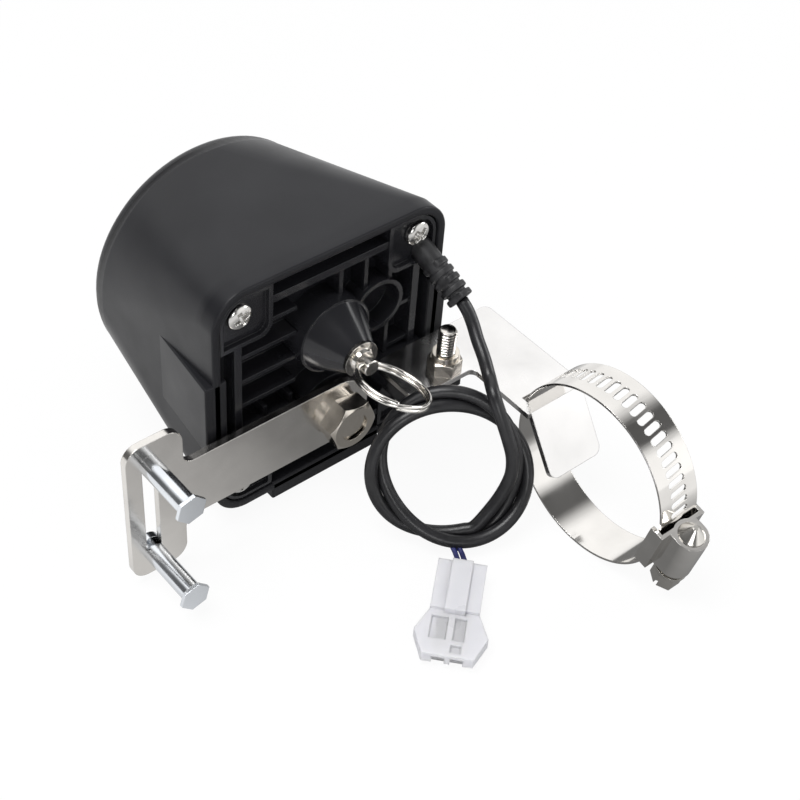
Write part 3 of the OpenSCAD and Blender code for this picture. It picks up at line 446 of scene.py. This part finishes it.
# ---------------------------------------------------------------------------
# Cable boot: a straight strain relief moulded on the cable. Its thick ribs are
# notched on either side in turn, so that it bends without kinking.
# ---------------------------------------------------------------------------
BOOT_ROOT, BOOT_TIP = np.array([[-13.8, 63, 38], [-11.5, 46.5, 28.4]]) / 1000
BOOT_FOOT_RADIUS = 0.0032
BOOT_TIP_RADIUS = 0.0026
BOOT_FOOT = 0.006
RIB_COUNT = 5
RIB_PITCH = 0.0025
RIB_HALF = 0.0009
RIB_RADIUS = 0.0036
NOTCH_DEPTH = 0.0008
NOTCH_FROM = 0.80
BOOT_SIDES = 48
BOOT_ROWS = 160
CABLE_FIT = 0.0001


def boot_radius(count, length):
    """The radius along the boot and round it: a short straight foot, a taper, and a round-shouldered
    rib at each pitch. Each rib dips where the cosine of the turn round it is near 1 or -1, in turn."""
    at = np.linspace(0, length, count)
    taper = np.clip((at - BOOT_FOOT) / (length - BOOT_FOOT), 0, 1)
    core = BOOT_FOOT_RADIUS + (BOOT_TIP_RADIUS - BOOT_FOOT_RADIUS) * taper
    radius = np.repeat(core[:, None], BOOT_SIDES, axis=1)
    facing = np.cos(np.linspace(0, 2 * math.pi, BOOT_SIDES, endpoint=False))
    for k in range(RIB_COUNT):
        away = np.abs(at - (length - RIB_HALF - k * RIB_PITCH)) / RIB_HALF
        shoulder = np.clip(1 - away**6, 0, 1) ** 0.5
        dip = NOTCH_DEPTH * np.clip((facing * (-1) ** k - NOTCH_FROM) / (1 - NOTCH_FROM), 0, 1) ** 0.5
        lift = np.maximum(RIB_RADIUS - core, 0)[:, None] - dip[None, :]
        radius = radius + np.maximum(lift, 0) * shoulder[:, None]
    radius[-1] = CABLE_WIDTH / 2 + CABLE_FIT
    return radius


boot_length = float(np.linalg.norm(BOOT_TIP - BOOT_ROOT))
boot_path = BOOT_ROOT + np.linspace(0, 1, BOOT_ROWS)[:, None] * (BOOT_TIP - BOOT_ROOT)
boot_grid = tube_grid(boot_path, boot_radius(BOOT_ROWS, boot_length), BOOT_SIDES)
boot = surface_piece("boot", boot_grid, boot_black)
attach(boot, "actuator")
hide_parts("cable_boot")

# ---------------------------------------------------------------------------
# Plated steel: the lever, bracket, fasteners and pins are mild steel with a
# bright nickel or zinc plate over a rolled, turned or ground surface.
# ---------------------------------------------------------------------------
STAIN = 0.82


def plated_finish(name, colour, gloss, grain=(1, 1, 1), scratch=0.15, edge=0.00015, stained=True):
    """Bright plate: a fine grain stretched along one way, cloudy gloss and, unless told not, stains."""
    material = shader(name, colour, gloss, metallic=1.0)
    lines = object_place(material, grain)
    place = object_place(material, (1, 1, 1))
    uneven_gloss(material, place, 120, gloss * 0.7, gloss * 1.35)
    if stained:
        stain = node(material, "ShaderNodeTexNoise", Scale=60.0, Detail=5.0)
        wire(material, place, stain.inputs["Vector"])
        uneven_colour(material, stain.outputs["Fac"], tuple(STAIN * c for c in colour), colour)
    brushed = node(material, "ShaderNodeTexNoise", Scale=900.0, Detail=3.0)
    wire(material, lines, brushed.inputs["Vector"])
    relief(material, brushed.outputs["Fac"], scratch, 0.00008, soft_edge=edge)
    return material


NICKEL = (0.80, 0.775, 0.74)
ALONG_X, ALONG_Y = (0.06, 1, 1), (1, 0.06, 1)
finish_node("lever_arm", plated_finish("nickel plated lever", NICKEL, 0.20, ALONG_X, 0.12, 0.0003))
bracket_plate = plated_finish("nickel plated bracket", (0.82, 0.81, 0.80), 0.22, ALONG_Y, 0.14, 0.0003)
finish_node("pipe_bracket", bracket_plate)
fastener = plated_finish("nickel plated fastener", (0.74, 0.69, 0.62), 0.20, scratch=0.1, edge=0.0002)
for name in ("spring_washer", "lever_nut", "bracket_nut", "output_shaft"):
    finish_node(name, fastener)
small_screw = plated_finish("bright plated screw", (0.62, 0.61, 0.59), 0.16, scratch=0.08)
for name in ("gear_plate_screws", "board_screws", "motor_screws"):
    finish_node(name, small_screw)
zinc = plated_finish("zinc plated pin", (0.80, 0.83, 0.87), 0.19, ALONG_Y, 0.12, 0.0002)
for name in ("upper_drive_pin", "lower_drive_pin", "upper_pin_screw", "lower_pin_screw"):
    finish_node(name, zinc)
release_plate = plated_finish("plated release pin", (0.80, 0.77, 0.72), 0.17, scratch=0.08)
for name in ("release_pin", "release_washer"):
    finish_node(name, release_plate)
plain_steel = plated_finish("plain steel", (0.42, 0.42, 0.43), 0.3)
for name in ("pin_clip", "idler_axle", "motor_shaft"):
    finish_node(name, plain_steel)
finish_node("gear_plate", plated_finish("gear plate steel", (0.62, 0.62, 0.62), 0.3, ALONG_X))
finish_node("motor_can", plated_finish("motor can steel", (0.6, 0.6, 0.62), 0.28, ALONG_Y))
finish_node("motor_gearhead", plated_finish("gearhead steel", (0.55, 0.54, 0.5), 0.34))

# ---------------------------------------------------------------------------
# Housing screws: four plated pan heads with a cross recess, driven from the
# open face into the housing's corner posts.
# ---------------------------------------------------------------------------
screws_low, screws_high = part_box("housing_screws")
SCREW_HEAD_RADIUS = 0.0035
SCREW_SHANK_RADIUS = 0.00175
SCREW_HEAD_HEIGHT = 0.0024
SCREW_DOME = 0.0013
SCREW_RIM = 0.0005
SCREW_POINT = 0.0008
SCREW_TIP_RADIUS = 0.0003
SCREW_TURN = 0.35
SCREW_TURN_MORE = 0.5
CROSS_ARM = 0.0022
CROSS_HALF = 0.00062
CROSS_DEPTH = 0.0015
CROSS_SLOPE = 0.00025


def cross_recess(x, z):
    """How deep the recess is at a place on the head: two crossed slots with sloping sides, deepest at
    the middle."""
    x, z = np.abs(x), np.abs(z)
    along_x = np.clip((CROSS_ARM - x) / CROSS_SLOPE, 0, 1) * np.clip((CROSS_HALF - z) / CROSS_SLOPE, 0, 1)
    along_z = np.clip((CROSS_ARM - z) / CROSS_SLOPE, 0, 1) * np.clip((CROSS_HALF - x) / CROSS_SLOPE, 0, 1)
    middle = 1 - 0.5 * np.hypot(x, z) / CROSS_ARM
    return CROSS_DEPTH * np.maximum(along_x, along_z) * middle


def screw_grid(x, z, turned):
    """A pan head screw along Y. The head is an ellipse's upper half, less the recess; the side, the
    underside and the shank follow it down to the tip. Rows are even out to seven tenths of the
    head's radius, then go with the sine, so that they close up at its rim."""
    around = np.linspace(0, 2 * math.pi, 96, endpoint=False)[None, :]
    reach = np.concatenate([np.linspace(0.02, 0.7, 34), np.sin(np.linspace(0.78, math.pi / 2, 10))])[:, None]
    reach = reach * SCREW_HEAD_RADIUS * np.ones_like(around)
    dome = SCREW_DOME * np.sqrt(np.clip(1 - (reach / SCREW_HEAD_RADIUS) ** 2, 0, 1))
    across, up = reach * np.cos(around), reach * np.sin(around)
    seat = screws_low.y + SCREW_HEAD_HEIGHT
    level = seat - (SCREW_HEAD_HEIGHT - SCREW_DOME) - dome + cross_recess(across, up)
    below = [(SCREW_HEAD_RADIUS, seat - SCREW_RIM), (SCREW_HEAD_RADIUS, seat), (SCREW_SHANK_RADIUS, seat),
             (SCREW_SHANK_RADIUS, screws_high.y - SCREW_POINT), (SCREW_TIP_RADIUS, screws_high.y)]
    for radius, y in below:
        across = np.concatenate([across, radius * np.cos(around)])
        up = np.concatenate([up, radius * np.sin(around)])
        level = np.concatenate([level, np.full_like(around, y)])
    c, s = math.cos(turned), math.sin(turned)
    return np.stack([x + c * across - s * up, level, z + s * across + c * up], -1)


corner_x = (screws_high.x - screws_low.x) / 2 - SCREW_HEAD_RADIUS
corner_z = (screws_high.z - screws_low.z) / 2 - SCREW_HEAD_RADIUS
screws_at = (screws_low + screws_high) / 2
for count, (sx, sz) in enumerate(((-1, 1), (1, 1), (-1, -1), (1, -1))):
    grid = screw_grid(screws_at.x + sx * corner_x, screws_at.z + sz * corner_z,
                      SCREW_TURN + SCREW_TURN_MORE * count)
    screw = surface_piece(f"housing_screw_{count + 1}", grid, small_screw)
    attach(screw, "actuator")
    if count == 0:
        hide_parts("housing_screws")

# ---------------------------------------------------------------------------
# Brass, bronze and nylon inside the housing: gears, bush, cam and spacers.
# ---------------------------------------------------------------------------
gear_brass = plated_finish("cut brass", (0.74, 0.56, 0.26), 0.26)
for name in ("clutch_pinion", "drive_gear", "output_gear", "motor_pinion", "board_spacers"):
    finish_node(name, gear_brass)
finish_node("shaft_bush", plated_finish("sintered bronze", (0.55, 0.36, 0.18), 0.42))


def plain_moulding(name, dark, light, gloss):
    """A moulded part whose colour and gloss wander slightly."""
    material = shader(name, light, gloss)
    place = object_place(material, (1, 1, 1))
    cloud = uneven_gloss(material, place, 300, gloss - 0.05, gloss + 0.08)
    uneven_colour(material, cloud, dark, light)
    relief(material, cloud, 0.05, 0.0001, soft_edge=0.0002)
    return material


acetal = plain_moulding("white acetal", (0.72, 0.71, 0.66), (0.82, 0.81, 0.77), 0.4)
for name in ("idler_gear", "limit_cam"):
    finish_node(name, acetal)
finish_node("control_board", plain_moulding("board lacquer", (0.02, 0.13, 0.045), (0.03, 0.18, 0.06), 0.25))
finish_node("board_relays", plain_moulding("relay case", (0.02, 0.07, 0.28), (0.03, 0.09, 0.35), 0.3))

# ---------------------------------------------------------------------------
# Bracket bolt: an M5 machine screw put up through the tab, with a rolled thread
# of 0.9 mm pitch and a hexagon head held in the base's shelf.
# ---------------------------------------------------------------------------
bolt_low, bolt_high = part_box("bracket_bolt")
BOLT_AXIS = np.array([-0.016, 0.0456])
BOLT_RADIUS = 0.0025
BOLT_PITCH = 0.0009
THREAD_DEPTH = 0.00045
GROOVE_FULL = 1.35
GROOVE_SLOPE = 2.9
HEAD_ACROSS_FLATS = 0.008
HEAD_HEIGHT = 0.0034
HEAD_EDGE = 0.0003
ROD_SUNK = 0.0005
END_TAPER = 0.0004
END_DISH = 0.0004
THREAD_SIDES = 48
ROWS_PER_PITCH = 12


def threaded_rod(name, low, high, material):
    """A rod along Z whose radius falls and rises once a pitch, in step with the turn round it, which
    makes one spiral groove with sloping sides and a narrow flat floor. The rod's top is chamfered and
    dished."""
    rows = int((high - low) / BOLT_PITCH * ROWS_PER_PITCH)
    z = np.linspace(low, high, rows)[:, None]
    around = np.linspace(0, 2 * math.pi, THREAD_SIDES, endpoint=False)[None, :]
    phase = (z / BOLT_PITCH - around / (2 * math.pi)) % 1
    groove = THREAD_DEPTH * np.clip(GROOVE_FULL - GROOVE_SLOPE * np.abs(phase - 0.5), 0, 1)
    chamfer = np.clip((z - (high - END_TAPER)), 0, END_TAPER)
    radius = np.minimum(BOLT_RADIUS - groove, BOLT_RADIUS - chamfer)
    height = np.broadcast_to(z, radius.shape)
    dish = np.linspace(0.9, 0.1, 6)[:, None] * radius[-1:]
    radius = np.concatenate([radius, dish])
    height = np.concatenate([height, high - END_DISH * (1 - (dish / radius[0, 0]) ** 2)])
    across, back = BOLT_AXIS[0] + radius * np.cos(around), BOLT_AXIS[1] + radius * np.sin(around)
    return surface_piece(name, np.stack([across, back, height], -1), material)


def worked_out(material, kind, first, second):
    """The result of a sum on two values, each of them a number or another node's output."""
    made = node(material, "ShaderNodeMath")
    made.operation = kind
    for socket, value in zip(made.inputs, (first, second)):
        if isinstance(value, float):
            socket.default_value = value
        else:
            wire(material, value, socket)
    return made.outputs["Value"]


def thread_shade(material):
    """How deep in the thread a place lies, from 0 on the crest to 1 at the root: twice the difference of its
    height in pitches and its turns round the bolt's axis, folded back at every 1. The thread's colour uses it
    to paint shade into the roots."""
    split = node(material, "ShaderNodeSeparateXYZ")
    wire(material, object_place(material, (1, 1, 1)), split.inputs["Vector"])
    across = worked_out(material, "SUBTRACT", split.outputs["X"], float(BOLT_AXIS[0]))
    back = worked_out(material, "SUBTRACT", split.outputs["Y"], float(BOLT_AXIS[1]))
    turned = worked_out(material, "DIVIDE", worked_out(material, "ARCTAN2", back, across), 2 * math.pi)
    risen = worked_out(material, "DIVIDE", split.outputs["Z"], BOLT_PITCH)
    apart = worked_out(material, "SUBTRACT", risen, turned)
    return worked_out(material, "PINGPONG", worked_out(material, "MULTIPLY", apart, 2.0), 1.0)


def hexagon(across_flats, centre):
    """The six corners of a hexagon, given across its flats."""
    a = np.radians(60 * np.arange(6))
    return np.stack([centre[0] + across_flats / math.sqrt(3) * np.cos(a),
                     centre[1] + across_flats / math.sqrt(3) * np.sin(a)], 1)


bolt_plate = plated_finish("plated bracket bolt", (0.66, 0.63, 0.59), 0.14, scratch=0.05, edge=0)
thread_plate_painted_shade = plated_finish("plated thread", (0.7, 0.67, 0.63), 0.16, scratch=0.05, edge=0, stained=False)
# The thread's roots are painted near black: painted shade down in the groove, the crests keep the plate's
# colour.
uneven_colour(thread_plate_painted_shade, thread_shade(thread_plate_painted_shade), (0.74, 0.71, 0.67), (0.05, 0.05, 0.05))
rod = threaded_rod("bracket_bolt_rod", bolt_low.z + HEAD_HEIGHT - ROD_SUNK, bolt_high.z, thread_plate_painted_shade)
head = prism_piece("bracket_bolt_head", hexagon(HEAD_ACROSS_FLATS, BOLT_AXIS), bolt_low.z,
                   bolt_low.z + HEAD_HEIGHT, 2, bolt_plate, HEAD_EDGE)
for piece in (rod, head):
    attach(piece, "actuator")
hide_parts("bracket_bolt")

# ---------------------------------------------------------------------------
# Release spring: a closed coil of spring wire round the release pin, between the
# cone's inner step and the pin's collar, which shortens as the pin is pulled.
# ---------------------------------------------------------------------------
spring_low, spring_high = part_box("release_spring")
SPRING_WIRE = 0.0008
SPRING_COILS = 7
SPRING_STEPS = 28
SPRING_SIDES = 12
SPRING_EASE = 0.00002
spring_middle = (spring_low + spring_high) / 2
spring_reach = (spring_high.x - spring_low.x - SPRING_WIRE) / 2
# The first and last coils are closed: each rises by one wire. The open ones between share the rest.
coils = SPRING_COILS * np.linspace(0, 1, SPRING_COILS * SPRING_STEPS)
closed_rise = SPRING_WIRE * (np.clip(coils, 0, 1) + np.clip(coils - SPRING_COILS + 1, 0, 1))
open_room = spring_high.y - spring_low.y - 3 * SPRING_WIRE
open_rise = open_room * np.clip((coils - 1) / (SPRING_COILS - 2), 0, 1)
wound = np.stack([spring_middle.x + spring_reach * np.cos(2 * math.pi * coils),
                  spring_low.y + SPRING_WIRE / 2 + closed_rise + open_rise,
                  spring_middle.z + spring_reach * np.sin(2 * math.pi * coils)], 1)
spring_grid = tube_grid(wound, SPRING_WIRE / 2 - SPRING_EASE, SPRING_SIDES)
spring = surface_piece("release_spring_wire", spring_grid, plain_steel)
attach(spring, "actuator")
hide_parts("release_spring")
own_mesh(spring)

# ---------------------------------------------------------------------------
# Split ring: spring wire wound to two close turns, through the eye of the
# release pin. Half way along, the wire steps across from one turn to the other.
# ---------------------------------------------------------------------------
EYE = np.array([-0.0435, 0.0446, 0.0248])
RING_WIRE = 0.0011
RING_OUTSIDE = 0.0205
RING_LEAN = math.radians(27)
RING_END_AT = 2.2
RING_STEP_WIDTH = 0.16
RING_POINTS = 260
RING_SIDES = 14
RING_EASE = 0.00001
wire_circle = RING_OUTSIDE / 2 - RING_WIRE / 2
turns = np.linspace(0, 4 * math.pi, RING_POINTS)
step_over = 1 / (1 + np.exp(-(turns - 2 * math.pi) / RING_STEP_WIDTH)) - 0.5
coil = np.stack([wire_circle * np.cos(turns - RING_END_AT),
                 wire_circle * np.sin(turns - RING_END_AT) - wire_circle, RING_WIRE * step_over], 1)
lean = np.array([[math.cos(RING_LEAN), 0, math.sin(RING_LEAN)], [0, 1, 0],
                 [-math.sin(RING_LEAN), 0, math.cos(RING_LEAN)]])
ring_grid = tube_grid(EYE + coil @ lean.T, RING_WIRE / 2 - RING_EASE, RING_SIDES)
ring_plate = plated_finish("bright ring wire", (0.84, 0.82, 0.78), 0.12, scratch=0.04, edge=0)
split_ring = surface_piece("split_ring_wire", ring_grid, ring_plate)
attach(split_ring, "ring")
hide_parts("split_ring")

# ---------------------------------------------------------------------------
# Hose clamp: a polished stainless strip with worm slots pressed through it, and
# a pressed housing crimped over the worm screw.
# ---------------------------------------------------------------------------
strip = plated_finish("polished stainless strip", (0.80, 0.78, 0.75), 0.10, (0.08, 1, 1), 0.06, 0.0002)
for name in ("clamp_band", "worm_housing"):
    finish_node(name, strip)
worm_plate = plated_finish("plated worm screw", (0.72, 0.70, 0.66), 0.2, scratch=0.08, edge=0.0002)
finish_node("worm_screw", worm_plate)

# ---------------------------------------------------------------------------
# Connector: a two-pole housing of natural nylon, which lets some light through,
# with tinned contacts and two blue cores crimped into it.
# ---------------------------------------------------------------------------


def nylon_finish():
    """Natural nylon: milky, a little light passing into it, soft gloss and faint flow marks."""
    material = shader("natural nylon", (0.62, 0.62, 0.645), 0.30, subsurface_weight=0.5,
                      subsurface_scale=0.006, ior=1.53)
    material.node_tree.nodes["Principled BSDF"].inputs["Subsurface Radius"].default_value = (1.0, 1.0, 1.1)
    place = object_place(material, (1, 1, 1))
    flow = uneven_gloss(material, place, 90, 0.26, 0.36)
    uneven_colour(material, flow, (0.60, 0.60, 0.63), (0.64, 0.64, 0.665))
    relief(material, flow, 0.04, 0.0001, soft_edge=0.0006)
    return material


finish_node("connector_body", nylon_finish())
finish_node("connector_contacts", plated_finish("tinned brass", (0.74, 0.72, 0.66), 0.3))
core = plain_moulding("core insulation", (0.012, 0.014, 0.07), (0.02, 0.025, 0.13), 0.35)
finish_node("core_wires", core)

# ---------------------------------------------------------------------------
# Table and light: a pale table that shows nearly white to the camera and keeps a
# faint shadow, under soft lamps from above, from the right and from the camera's side.
# ---------------------------------------------------------------------------
TABLE_Z = housing_low.z - 0.00002
TABLE_REACH = 4.0
# Reflections see the table as a glow with painted shade: dim near the actuator's middle, brightening with the
# distance from it.
PAINTED_SHADE_MIDDLE = (0.0, 0.02, TABLE_Z)
TABLE_PAINTED_SHADE = (0.048, 0.14, 0.22, 1.05)
TABLE_WHITE = 0.93


def table_finish():
    """Pale matt paper: nearly plain white to the camera, so that only a soft shadow shows on it. To
    reflections it is a painted glow instead: painted shade close to the actuator, bright further off."""
    material = bpy.data.materials.new("pale table")
    material.use_nodes = True
    paper = material.node_tree.nodes["Principled BSDF"]
    paper.inputs["Base Color"].default_value = (0.86, 0.86, 0.86, 1)
    paper.inputs["Roughness"].default_value = 0.9
    white = node(material, "ShaderNodeEmission", Color=(1, 1, 1, 1), Strength=1.0)
    seen = node(material, "ShaderNodeLightPath")
    share = node(material, "ShaderNodeMath")
    share.operation = "MULTIPLY"
    share.inputs[1].default_value = TABLE_WHITE
    to_camera = node(material, "ShaderNodeMixShader")
    wire(material, seen.outputs["Is Camera Ray"], share.inputs[0])
    wire(material, share.outputs["Value"], to_camera.inputs["Fac"])
    wire(material, paper.outputs["BSDF"], to_camera.inputs[1])
    wire(material, white.outputs["Emission"], to_camera.inputs[2])
    place = node(material, "ShaderNodeTexCoord")
    away = node(material, "ShaderNodeVectorMath")
    away.operation = "DISTANCE"
    away.inputs[1].default_value = PAINTED_SHADE_MIDDLE
    across = node(material, "ShaderNodeMapRange")
    for socket, value in zip(("From Min", "From Max", "To Min", "To Max"), TABLE_PAINTED_SHADE):
        across.inputs[socket].default_value = value
    # The glow that reflections see, with its painted shade near the actuator.
    dim = node(material, "ShaderNodeEmission")
    reflected = node(material, "ShaderNodeMixShader")
    wire(material, place.outputs["Object"], away.inputs[0])
    wire(material, away.outputs["Value"], across.inputs["Value"])
    wire(material, across.outputs["Result"], dim.inputs["Strength"])
    wire(material, seen.outputs["Is Glossy Ray"], reflected.inputs["Fac"])
    wire(material, to_camera.outputs["Shader"], reflected.inputs[1])
    wire(material, dim.outputs["Emission"], reflected.inputs[2])
    wire(material, reflected.outputs["Shader"], material.node_tree.nodes["Material Output"].inputs["Surface"])
    return material


mesh = bpy.data.meshes.new("table")
corners = [(-TABLE_REACH, -TABLE_REACH), (TABLE_REACH, -TABLE_REACH), (TABLE_REACH, TABLE_REACH),
           (-TABLE_REACH, TABLE_REACH)]
mesh.from_pydata([(x, y, TABLE_Z) for x, y in corners], [], [(0, 1, 2, 3)])
mesh.materials.append(table_finish())
table = bpy.data.objects.new("table", mesh)
bpy.context.scene.collection.objects.link(table)


def soft_lamp(name, place, aim, width, power):
    """A square lamp at a place, facing its aim."""
    lamp = bpy.data.objects.new(name, bpy.data.lights.new(name, "AREA"))
    lamp.data.shape = "SQUARE"
    lamp.data.size = width
    lamp.data.energy = power
    lamp.location = place
    lamp.rotation_euler = (Vector(aim) - Vector(place)).to_track_quat("-Z", "Y").to_euler()
    bpy.context.scene.collection.objects.link(lamp)


MIDDLE = (-0.04, 0.04, 0.0)
soft_lamp("key_lamp", (-0.35, 0.10, 0.85), MIDDLE, 0.5, 7.0)
soft_lamp("side_lamp", (0.75, -0.25, 0.35), MIDDLE, 0.4, 2.5)
soft_lamp("front_lamp", (-0.55, -0.75, 0.35), MIDDLE, 0.35, 2.0)

# The world is plain grey light, and white to the camera. What shines reflects a dim studio in its
# place, with soft bright panels: each has a facing, where it starts and is full, and a strength.
DIM_STUDIO = 0.13
PANELS = (((0.30, 0.75, 0.59), 0.55, 0.86, 1.15), ((0.49, -0.84, 0.23), 0.80, 0.95, 1.2))
SKY_GREY = (0.42, 0.42, 0.43, 1)

world = bpy.data.worlds.new("studio")
bpy.context.scene.world = world
world.use_nodes = True
tree = world.node_tree
heading = tree.nodes.new("ShaderNodeTexCoord").outputs["Generated"]
lit = None
for facing, soft_from, full_from, strength in PANELS:
    toward = tree.nodes.new("ShaderNodeVectorMath")
    toward.operation = "DOT_PRODUCT"
    toward.inputs[1].default_value = facing
    panel = tree.nodes.new("ShaderNodeMapRange")
    panel.interpolation_type = "SMOOTHSTEP"
    panel.inputs["From Min"].default_value = soft_from
    panel.inputs["From Max"].default_value = full_from
    panel.inputs["To Max"].default_value = strength
    total = tree.nodes.new("ShaderNodeMath")
    total.operation = "ADD"
    total.inputs[1].default_value = DIM_STUDIO
    tree.links.new(heading, toward.inputs[0])
    tree.links.new(toward.outputs["Value"], panel.inputs["Value"])
    tree.links.new(panel.outputs["Result"], total.inputs[0])
    if lit:
        tree.links.new(lit, total.inputs[1])
    lit = total.outputs["Value"]
paths = tree.nodes.new("ShaderNodeLightPath")
shiny = tree.nodes.new("ShaderNodeMix")
shiny.data_type = "RGBA"
shiny.inputs["A"].default_value = SKY_GREY
seen_white = tree.nodes.new("ShaderNodeMix")
seen_white.data_type = "RGBA"
seen_white.inputs["B"].default_value = (1, 1, 1, 1)
background = tree.nodes["Background"]
for source, target in ((lit, shiny.inputs["B"]),
                       (paths.outputs["Is Glossy Ray"], shiny.inputs["Factor"]),
                       (shiny.outputs["Result"], seen_white.inputs["A"]),
                       (paths.outputs["Is Camera Ray"], seen_white.inputs["Factor"]),
                       (seen_white.outputs["Result"], background.inputs["Color"])):
    tree.links.new(source, target)
background.inputs["Strength"].default_value = 1.0

bpy.context.scene.view_settings.view_transform = "Standard"
bpy.context.view_layer.update()
